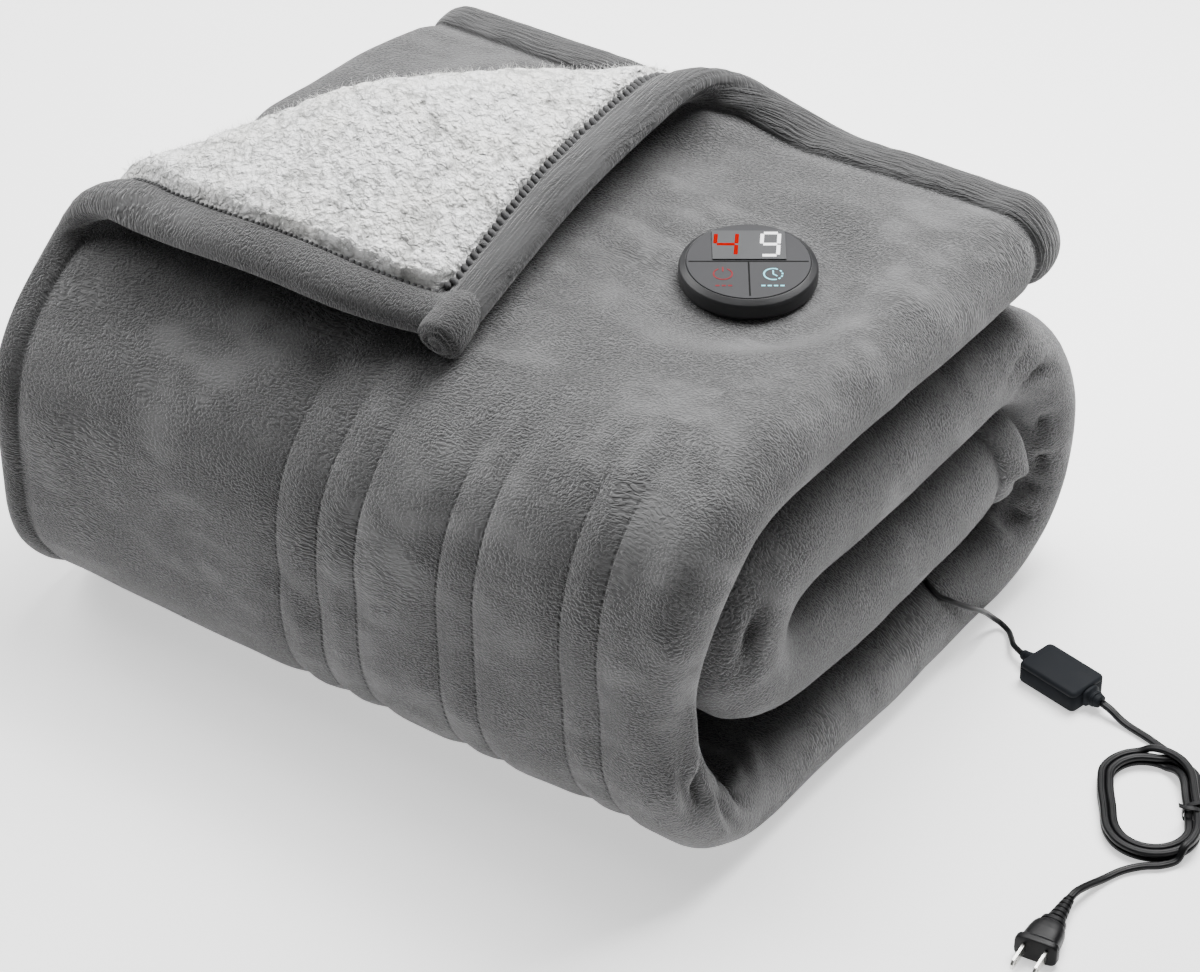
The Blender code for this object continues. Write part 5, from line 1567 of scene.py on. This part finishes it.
def pile_clumps(x, w):
    """The pile's height over its backing: round clumps of two sizes in loose rows, on a slow swell."""
    flat = np.stack([x, w, np.zeros_like(x)], axis=-1)
    stray = [lattice_noise(flat, DRIFT.size, DRIFT.seed + k) for k in (0, 1)]
    at = flat[..., :2] + DRIFT.rise * np.stack(stray, axis=-1)
    big = domes(at * np.array((CLUMP_LONG[0], 1.0)), CLUMP_BIG, 23)
    small = domes(at * np.array((CLUMP_LONG[1], 1.0)) + 0.3, CLUMP_SMALL, 24)
    swell = SWELL.rise * lattice_noise(flat, SWELL.size, SWELL.seed)
    lift = CLUMP_RISE[0] * big + CLUMP_RISE[1] * small + swell - CLUMP_SINK
    return lift, BIG_SHARE * big + (1.0 - BIG_SHARE) * small


def pile_piece(name, wool, tops, *shape):
    """A piece of the white pile; tops says how near each of its points is to the pile's top."""
    obj = mesh_piece(name, shape[0] + SHIFT, *shape[1:])
    point_value(obj, "tops", np.full(len(shape[0]), tops) if np.isscalar(tops) else tops)
    return dressed(obj, wool, "white_sherpa")


def build_sherpa():
    """The lining: a thick backing with clumped pile, under a layer of separate curls and loose fibres."""
    x, w, rim = lining_grid(*SHERPA_GRID, SHERPA_SIDE, SHERPA_END, SHERPA_START)
    low, up = lining_frame(x, w)
    full = smooth_step(rim / PILE_EASE)
    lift, height = pile_clumps(x, w)
    high = low + up * (BACKING_TOP + full * (SHERPA_PILE + lift))[..., None]
    points, faces = slab(high, low - up * BACKING_LOW)
    wool = curly_pile()
    # tops: how near the pile's top each point lies, which sets its painted shade
    tops = np.full(len(points), 0.8)
    tops[: height.size] = (0.25 + 0.75 * height.ravel()) * full.ravel() + 0.5 * (1.0 - full.ravel())
    obj = pile_piece("sherpa_pile", wool, tops, points, faces)
    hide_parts("sherpa_lining")
    return obj, build_curls(wool), build_fibres(wool)


def scatter(count, seed, inset, start):
    """Random places on the lining's triangle, evenly spread over it."""
    rng = np.random.default_rng(seed)
    a = np.sqrt(rng.uniform(0.0012, 1.0, count))
    b = rng.uniform(0.0, 1.0, count)
    x, w = lining_place(a, b, SHERPA_SIDE + inset, SHERPA_END + inset, start)
    return x, w, rng


def tangents(up):
    """Two unit vectors across each normal."""
    first = unit(np.cross(up, np.array((0.31, 0.22, 0.92))))
    return first, np.cross(up, first)


def build_curls(wool):
    """Short thick curls of pile: each an open loop of yarn that leans its own way."""
    x, w, rng = scatter(CURLS, CURL_SEED, 0.003, SHERPA_START + 0.004)
    low, up = lining_frame(x, w)
    base = low + up * (SHERPA_PILE * CURL_SEAT + pile_clumps(x, w)[0])[:, None]
    e1, e2 = tangents(up)
    spin = rng.uniform(0.0, 2 * math.pi, CURLS)[:, None]
    first = wound(0.0, e1, e2, spin)
    second = wound(0.0, e2, -e1, spin)
    lean = rng.uniform(-CURL_LEAN, CURL_LEAN, CURLS)[:, None]
    second = wound(0.0, second, up, lean)
    radius = rng.uniform(*CURL_RADIUS, CURLS)[:, None, None]
    sweep_angle = rng.uniform(*CURL_SWEEP, CURLS)[:, None]
    f = np.linspace(0.0, 1.0, len(CURL_TAPER))
    outward = wound(0.0, first[:, None], second[:, None], (sweep_angle * f)[..., None])
    third = np.cross(first, second)[:, None]
    f = f[None, :, None]
    centre = base[:, None] + radius * ((1.0 + CURL_OPEN * f) * outward + third * (f - 0.5) * CURL_RISE)
    thick = rng.uniform(*CURL_THICK, CURLS)[:, None, None] * np.array(CURL_TAPER)[None, :, None]
    rings = tube_rings(centre, thick, outward, third, 5)
    return pile_piece("sherpa_curls", wool, 0.85, *many_tubes(rings))


def tube_rings(line, thick, first, second, sides):
    """Rings round many lines at once: of that radius at each point, in the plane of the two axes."""
    ring = (2 * math.pi * np.arange(sides) / sides)[None, None, :, None]
    return line[:, :, None] + thick[:, :, None] * wound(0.0, first[:, :, None], second[:, :, None], ring)


def build_fibres(wool):
    """Loose ends of the pile that stand off it and soften its outline.

    Each is a closed three-sided hair that thins to its tip: ahead by the share f of its length, and
    aside and down by the square of f.
    """
    x, w, rng = scatter(FIBRES, FIBRE_SEED, 0.001, SHERPA_START)
    low, up = lining_frame(x, w)
    base = low + up * (SHERPA_PILE * FIBRE_SEAT + pile_clumps(x, w)[0])[:, None]
    e1, e2 = tangents(up)
    spin = rng.uniform(0.0, 2 * math.pi, FIBRES)[:, None]
    aside = wound(0.0, e1, e2, spin)
    tilt = rng.uniform(0.2, 1.25, FIBRES)[:, None]
    ahead = wound(0.0, up, aside, tilt)
    curl = np.cross(ahead, e1) * rng.uniform(-0.6, 0.6, FIBRES)[:, None]
    f = np.array(FIBRE_STATIONS)[None, :, None]
    reach = rng.uniform(0.45, 1.0, FIBRES)[:, None, None] * FIBRE_LONG
    down = FIBRE_DROOP * f**2 * np.array((0, 0, -1.0))
    line = base[:, None] + reach * (f * ahead[:, None] + f**2 * curl[:, None] + down)
    width = FIBRE_THICK * np.array(FIBRE_TAPER)[None, :, None]
    third = unit(np.cross(ahead, aside + 0.3 * up))[:, None]
    fourth = np.cross(third, ahead[:, None])
    return pile_piece("sherpa_fibres", wool, 0.9, *many_tubes(tube_rings(line, width, third, fourth, 3)))


def seam_loops(name, x, w, stitch, finish):
    """Overcast stitches along the lining's edge: a yarn wound round the seam, one turn a stitch."""
    low, up = lining_frame(x, w)
    line = low + up * stitch.lift
    gone = np.concatenate([[0.0], np.cumsum(np.linalg.norm(np.diff(line, axis=0), axis=1))])
    t = np.arange(0.0, gone[-1], stitch.pitch / TURN_POINTS)
    core = np.stack([np.interp(t, gone, line[:, k]) for k in range(3)], axis=1)
    above = unit(np.stack([np.interp(t, gone, up[:, k]) for k in range(3)], axis=1))
    ahead = unit(np.gradient(core, axis=0))
    aside = unit(np.cross(above, ahead))
    rng = np.random.default_rng(51)
    wobble = np.interp(t, np.linspace(0, gone[-1], 60), rng.uniform(0.75, 1.15, 60))[:, None]
    quick = np.interp(t, np.linspace(0, gone[-1], 40), rng.uniform(0.78, 1.22, 40))
    turn = (2 * math.pi * np.cumsum(quick) * (t[1] - t[0]) / stitch.pitch)[:, None]
    thread = core + stitch.radius * wobble * wound(0.0, above, 1.15 * aside, turn)
    tangent = unit(np.gradient(thread, axis=0))
    first = unit(np.cross(tangent, ahead + 0.2 * above))
    second = np.cross(tangent, first)
    ring = (2 * math.pi * np.arange(7) / 7)[:, None]
    circle = wound(0.0, first[:, None], second[:, None], ring)
    points, quads, caps = skin(thread[:, None] + stitch.yarn * circle)
    return dressed(mesh_piece(name, points + SHIFT, quads, caps), finish, "grey_plush")


def build_seams(finish):
    """The stitches that hold the lining to the end hem and to the side hem."""
    start, stop, count = SEAM_START, SEAM_STOP, SEAM_POINTS
    x = np.linspace(STRIP_LEFT + SEAM_SIDE + start, STRIP_LEFT + CREASE_BACK - stop, count)
    end = seam_loops("end_seam", x, np.full(count, SEAM_END), END_STITCH, finish)
    w = np.linspace(SEAM_END + start, CREASE_LEFT - stop, count)
    side = seam_loops("side_seam", np.full(count, STRIP_LEFT + SEAM_SIDE), w, SIDE_STITCH, finish)
    return end, side


def build_hem_roll():
    """The end hem's own rolled end at the turned-back corner: a short tube, one coil of cloth on its face.

    The face dips where the distance from its middle and the angle round it lie on
    r = ROLL_COIL * (turn + n).
    """
    s = np.full((1, 2), LENGTH - END_TRIM - 0.5 * HEM_WIDTH)
    width = STRIP_RIGHT - 0.5 * thickness(s[0, 0]) - STRIP_LEFT
    near, far = sheet(np.array([[0.030, 0.012]]) / width, s, np.zeros((1, 2)))[0]
    axis = unit(far - near)
    aside = unit(np.cross(axis, np.array((0.0, 0.0, 1.0))))
    above = np.cross(aside, axis)
    theta = np.linspace(0.0, 2 * math.pi, 97)[:-1]
    around = wound(0.0, aside, above, theta[:, None])
    t = np.linspace(0.2, 1.5, 6)
    lip = np.stack([0.0335 + 0.0035 * np.sin(t), 0.985 - 0.16 * (1 - np.cos(t))], axis=1)
    face = np.stack([np.full(30, ROLL_FACE), np.linspace(*ROLL_FACE_SHARE, 30)], axis=1)
    profile = np.concatenate([ROLL_BODY, lip, face])
    onward, share = profile[:, :1], profile[:, 1:]
    r = ROLL_RADIUS * share
    phase = (r / ROLL_COIL - theta / (2 * math.pi)) % 1.0
    on_face = share < 0.83
    deep, wide = ROLL_GROOVE
    groove = np.exp(-((np.minimum(phase, 1.0 - phase) * ROLL_COIL / wide) ** 2)) * on_face
    groove = groove * np.minimum(1.0, share / 0.2)
    lump = 1.0 + ROLL_LUMP * np.sin(3 * theta + 60 * onward)
    ahead = onward + ROLL_CROWN * (1 - share**2) * on_face - deep * groove
    rings = near + axis * ahead[..., None] + around * (r * lump)[..., None]
    points, quads, caps = skin(rings)
    obj = mesh_piece("hem_roll", points + SHIFT, quads, caps)
    across = np.tile(theta * ROLL_RADIUS, len(profile))
    along_it = np.repeat(onward - r, len(theta))
    cloth_map(obj, np.append(across, [0.0, 0.0]), np.append(along_it, [0.0, 0.0]))
    for name, value in (("side", 0.012), ("stitched", 0.0), ("crease_shade", 0.0)):
        point_value(obj, name, np.full(len(points), value))
    return dressed(obj, bpy.data.materials["brushed_plush"], "grey_plush")


# ---- the materials, one function each

Moulding = namedtuple("Moulding", "colour roughness grain depth dust shine")


def pile_group():
    """Brushed short pile on the cloth's map: fine dashes, waves across, smooth patches and stitch rows."""
    tree = bpy.data.node_groups.new("brushed_pile", "ShaderNodeTree")
    for name in ("Height", "Tint", "Groove shade", "Stitch", "Hem"):
        tree.interface.new_socket(name, in_out="OUTPUT", socket_type="NodeSocketFloat")
    g = Graph(tree)
    out = tree.nodes.new("NodeGroupOutput")
    uv = g.add("UVMap", uv_map="cloth").outputs["UV"]
    where = g.where()
    bend = g.drifted(uv, where, 42.0, 1.0, PILE_DRIFT)
    dash = g.noise(g.scaled(bend, DASHES), 1.0, 1.0, 0.5, 0.3)
    wave = g.noise(g.scaled(bend, WAVES), 1.0, 1.0, 0.5, 0.3)
    waved = g.span(g.noise(where, PATCH_SCALE, 2.0, 0.55, 0.5), *WAVED)
    crisp = g.span(g.between(dash, wave, waved), 0.40, 0.60)
    streak = g.noise(g.scaled(bend, STREAKS), 1.0, 2.0, 0.55, 0.4)
    brushed = g.noise(where, BRUSHED_SCALE, 2.0, 0.6, 0.5)
    tint = g.blend(brushed, streak, BRUSHED_SHARE)
    rough = g.span(tint, *SMOOTHED, SMOOTH_RELIEF, 1.0)
    _, along_cloth, _ = g.add("SeparateXYZ", inputs={0: uv}).outputs
    side = g.value("side")
    hem_start = LENGTH - END_TRIM - HEM_WIDTH
    at_end = g.span(along_cloth, hem_start - 0.001, hem_start + 0.001)
    at_side = g.span(side, SEAM_SIDE + 0.001, SEAM_SIDE - 0.001)
    ribs = g.span(g.noise(g.scaled(uv, RIBS), 1.0, 1.0, 0.5, 0.2), 0.38, 0.62)
    crisp = g.between(crisp, ribs, g.times(at_end, RIB_SHARE))
    apart = None
    for row in CHANNELS:
        gap = g.math("ABSOLUTE", g.math("SUBTRACT", side, row - STRIP_LEFT))
        apart = gap if apart is None else g.math("MINIMUM", apart, gap)
    on_row = g.value("stitched")
    beat = g.math("FRACT", g.times(along_cloth, 1.0 / STITCH_PITCH))
    start, full, last, end = STITCH_SPAN
    dashes_of_yarn = g.times(g.span(beat, start, full), g.span(beat, end, last))
    line = g.times(g.span(apart, STITCH_HALF[1], STITCH_HALF[0]), on_row)
    stitch = g.times(line, g.span(dashes_of_yarn, 0.0, 1.0, STITCH_FAINT, 1.0))
    valley = g.times(g.span(apart, VALLEY_HALF, 0.0), on_row)
    height = g.math("SUBTRACT", g.times(crisp, rough), g.times(stitch, STITCH_SINK))
    height = g.math("SUBTRACT", height, g.times(valley, VALLEY_SINK))
    g.link(height, out.inputs["Height"])
    g.link(tint, out.inputs["Tint"])
    # where the painted shade between the pile's dashes goes
    g.link(g.times(g.math("SUBTRACT", 1.0, crisp), rough), out.inputs["Groove shade"])
    g.link(stitch, out.inputs["Stitch"])
    # where the hems darken: partly their own band with the pile lying another way, partly painted shade
    g.link(g.math("MAXIMUM", at_end, at_side), out.inputs["Hem"])
    return tree


def brushed_plush():
    """Grey brushed plush, with painted shade between the dashes and in deep creases, and hems and stitch rows
    darkened partly by their own band and thread, partly by painted shade.
    """
    sheen = {"Sheen_Weight": 0.30, "Sheen_Roughness": 0.45, "Specular_IOR_Level": 0.15}
    made, shader = material("brushed_plush", PLUSH_GREY, 0.88, **sheen)
    g = Graph(made.node_tree)
    pile = g.add("Group", node_tree=pile_group()).outputs
    tone = g.ramp(pile["Tint"], (0.36, PLUSH_DARK), (0.50, PLUSH_GREY), (0.64, PLUSH_LIGHT))
    # painted shade: darker between the pile's dashes
    tone = g.mix(g.times(pile["Groove shade"], GROOVE_SHADE_SHARE), tone, PLUSH_GROOVE_SHADE)
    # the hems darker: partly their own band, partly painted shade
    tone = g.mix(g.times(pile["Hem"], HEM_TONE_AND_SHADE), tone, PLUSH_GROOVE_SHADE)
    # the stitch rows darker: the thread's own dark, and painted shade along the sunk row
    tone = g.mix(g.times(pile["Stitch"], STITCH_THREAD_AND_SHADE), tone, THREAD_AND_CREASE_SHADE)
    # painted shade in deep creases
    tone = g.mix(g.span(g.value("crease_shade"), 0.25, 0.9, 0.0, CREASE_SHADE_SHARE), tone, THREAD_AND_CREASE_SHADE)
    g.link(tone, shader.inputs["Base Color"])
    g.link(g.bump(pile["Height"], 1.0, PILE_DEPTH), shader.inputs["Normal"])
    return made


def curly_pile():
    """White curly pile: round clumps of two sizes, with painted shade in the creases between them and low in
    the pile, under fine curls.
    """
    sheen = {"Sheen_Weight": 0.15, "Sheen_Roughness": 0.5, "Specular_IOR_Level": 0.05}
    made, shader = material("curly_pile", SHERPA_WHITE, 0.95, **sheen)
    g = Graph(made.node_tree)
    where = g.where()
    tone = g.ramp(g.noise(where, CREAM_SCALE, 2.0, 0.6), (0.38, SHERPA_CREAM), (0.56, SHERPA_WHITE))
    loose = g.drifted(where, where, 150.0, 2.0, WOOL_DRIFT)
    big, small = (
        g.add("TexVoronoi", inputs={"Vector": loose, "Scale": scale}).outputs["Distance"]
        for scale in (BIG_CLUMPS, SMALL_CLUMPS)
    )
    curl = g.noise(where, CURL_SCALE, 2.0, 0.6, 1.2)
    gap = g.blend(big, small, BIG_SHARE)
    # painted shade in the creases between the clumps, and below for the low points of the pile
    shade = g.times(g.span(gap, 0.34, 0.72), g.span(g.noise(where, 60.0, 2.0), 0.34, 0.62, 0.30, 0.85))
    tone = g.mix(shade, tone, SHERPA_SHADE)
    tone = g.mix(g.span(g.value("tops"), 0.62, 0.15, 0.0, 0.7), tone, SHERPA_SHADE)
    g.link(tone, shader.inputs["Base Color"])
    height = g.math("SUBTRACT", g.times(curl, CURL_SHARE), gap)
    g.link(g.bump(height, 1.0, WOOL_DEPTH), shader.inputs["Normal"])
    return made


def seam_yarn():
    """The seam's grey yarn, finely mottled."""
    made, shader = material("seam_yarn", SEAM_GREY, 0.9, Sheen_Weight=0.3, Specular_IOR_Level=0.15)
    g = Graph(made.node_tree)
    fine = g.noise(g.where(), 900.0, 3.0, 0.6)
    tone = g.ramp(fine, (0.3, tuple(0.6 * c for c in SEAM_GREY)), (0.7, SEAM_GREY))
    g.link(tone, shader.inputs["Base Color"])
    g.link(g.bump(fine, 0.6, 0.0006), shader.inputs["Normal"])
    return made


def moulded(name, finish):
    """Moulded plastic: a fine even grain, faint patches of handling and a roughness that varies with them."""
    sockets = {"Specular_IOR_Level": finish.shine}
    made, shader = material(name, finish.colour, finish.roughness, **sockets)
    g = Graph(made.node_tree)
    where = g.where()
    patch = g.noise(where, 55.0, 3.0, 0.6)
    lighter = tuple(min(1.0, c * (1.0 + finish.dust) + 0.002) for c in finish.colour)
    darker = tuple(c * (1.0 - 0.5 * finish.dust) for c in finish.colour)
    g.link(g.ramp(patch, (0.35, darker), (0.65, lighter)), shader.inputs["Base Color"])
    varied = g.span(patch, 0.35, 0.65, finish.roughness - 0.05, finish.roughness + 0.06)
    g.link(varied, shader.inputs["Roughness"])
    grain = g.noise(where, 1.0 / finish.grain, 2.0, 0.5)
    g.link(g.bump(grain, 0.5, finish.depth), shader.inputs["Normal"])
    return made


def housing_plastic():
    return moulded("housing_plastic", Moulding((0.015, 0.015, 0.016), 0.45, 0.00045, 0.00003, 0.25, 0.35))


def face_plastic():
    return moulded("face_plastic", Moulding((0.035, 0.035, 0.037), 0.62, 0.00035, 0.00002, 0.06, 0.12))


def display_glass():
    return moulded("display_glass", Moulding((0.056, 0.057, 0.059), 0.50, 0.002, 0.00001, 0.04, 0.12))


def cord_vinyl():
    return moulded("cord_vinyl", Moulding((0.0045, 0.0045, 0.0050), 0.40, 0.0006, 0.00004, 0.3, 0.14))


def case_plastic():
    return moulded("case_plastic", Moulding((0.0070, 0.0085, 0.0110), 0.68, 0.0004, 0.00004, 0.15, 0.12))


def tie_plastic():
    return moulded("tie_plastic", Moulding((0.006, 0.006, 0.0066), 0.42, 0.0008, 0.00003, 0.25, 0.2))


def blade_metal():
    """Plated metal, lightly brushed across the blades."""
    made, shader = material("blade_metal", (0.66, 0.65, 0.62), 0.26, 1.0)
    g = Graph(made.node_tree)
    brushed = g.noise(g.scaled(g.where(), (4000.0, 4000.0, 60.0)), 1.0, 2.0, 0.6)
    g.link(g.span(brushed, 0.3, 0.7, 0.18, 0.36), shader.inputs["Roughness"])
    g.link(g.bump(brushed, 0.25, 0.00002), shader.inputs["Normal"])
    return made


def glow(name, colour, strength):
    """A lit segment: its colour shines evenly, a little uneven at its edges."""
    made, shader = material(name, colour, 0.8, Emission_Strength=strength, Specular_IOR_Level=0.0)
    g = Graph(made.node_tree)
    even = g.noise(g.where(), 900.0, 1.0)
    shade = g.ramp(even, (0.2, tuple(0.86 * c for c in colour)), (0.6, colour))
    g.link(g.mix(UNLIT_SHARE, shade, (0.0, 0.0, 0.0)), shader.inputs["Base Color"])
    g.link(shade, shader.inputs["Emission Color"])
    return made


def legend_ink(name, colour, strength):
    """Print that is a little worn and shines faintly."""
    made, shader = material(name, colour, 0.6, Emission_Strength=strength, Specular_IOR_Level=0.05)
    g = Graph(made.node_tree)
    worn = g.noise(g.where(), 500.0, 2.0)
    shade = g.ramp(worn, (0.25, tuple(0.8 * c for c in colour)), (0.6, colour))
    g.link(shade, shader.inputs["Base Color"])
    g.link(shade, shader.inputs["Emission Color"])
    return made


# ---- the whole


def main():
    """Camera and light, then every piece: the cord set, the controller, the blanket, the lining with its
    curls and fibres, the seams and the hem's rolled end.
    """
    add_camera()
    add_studio()
    build_cord_set()
    build_controller()
    blanket = build_blanket()
    pile, curls, fibres = build_sherpa()
    seams = [*build_seams(seam_yarn()), build_hem_roll()]


main()
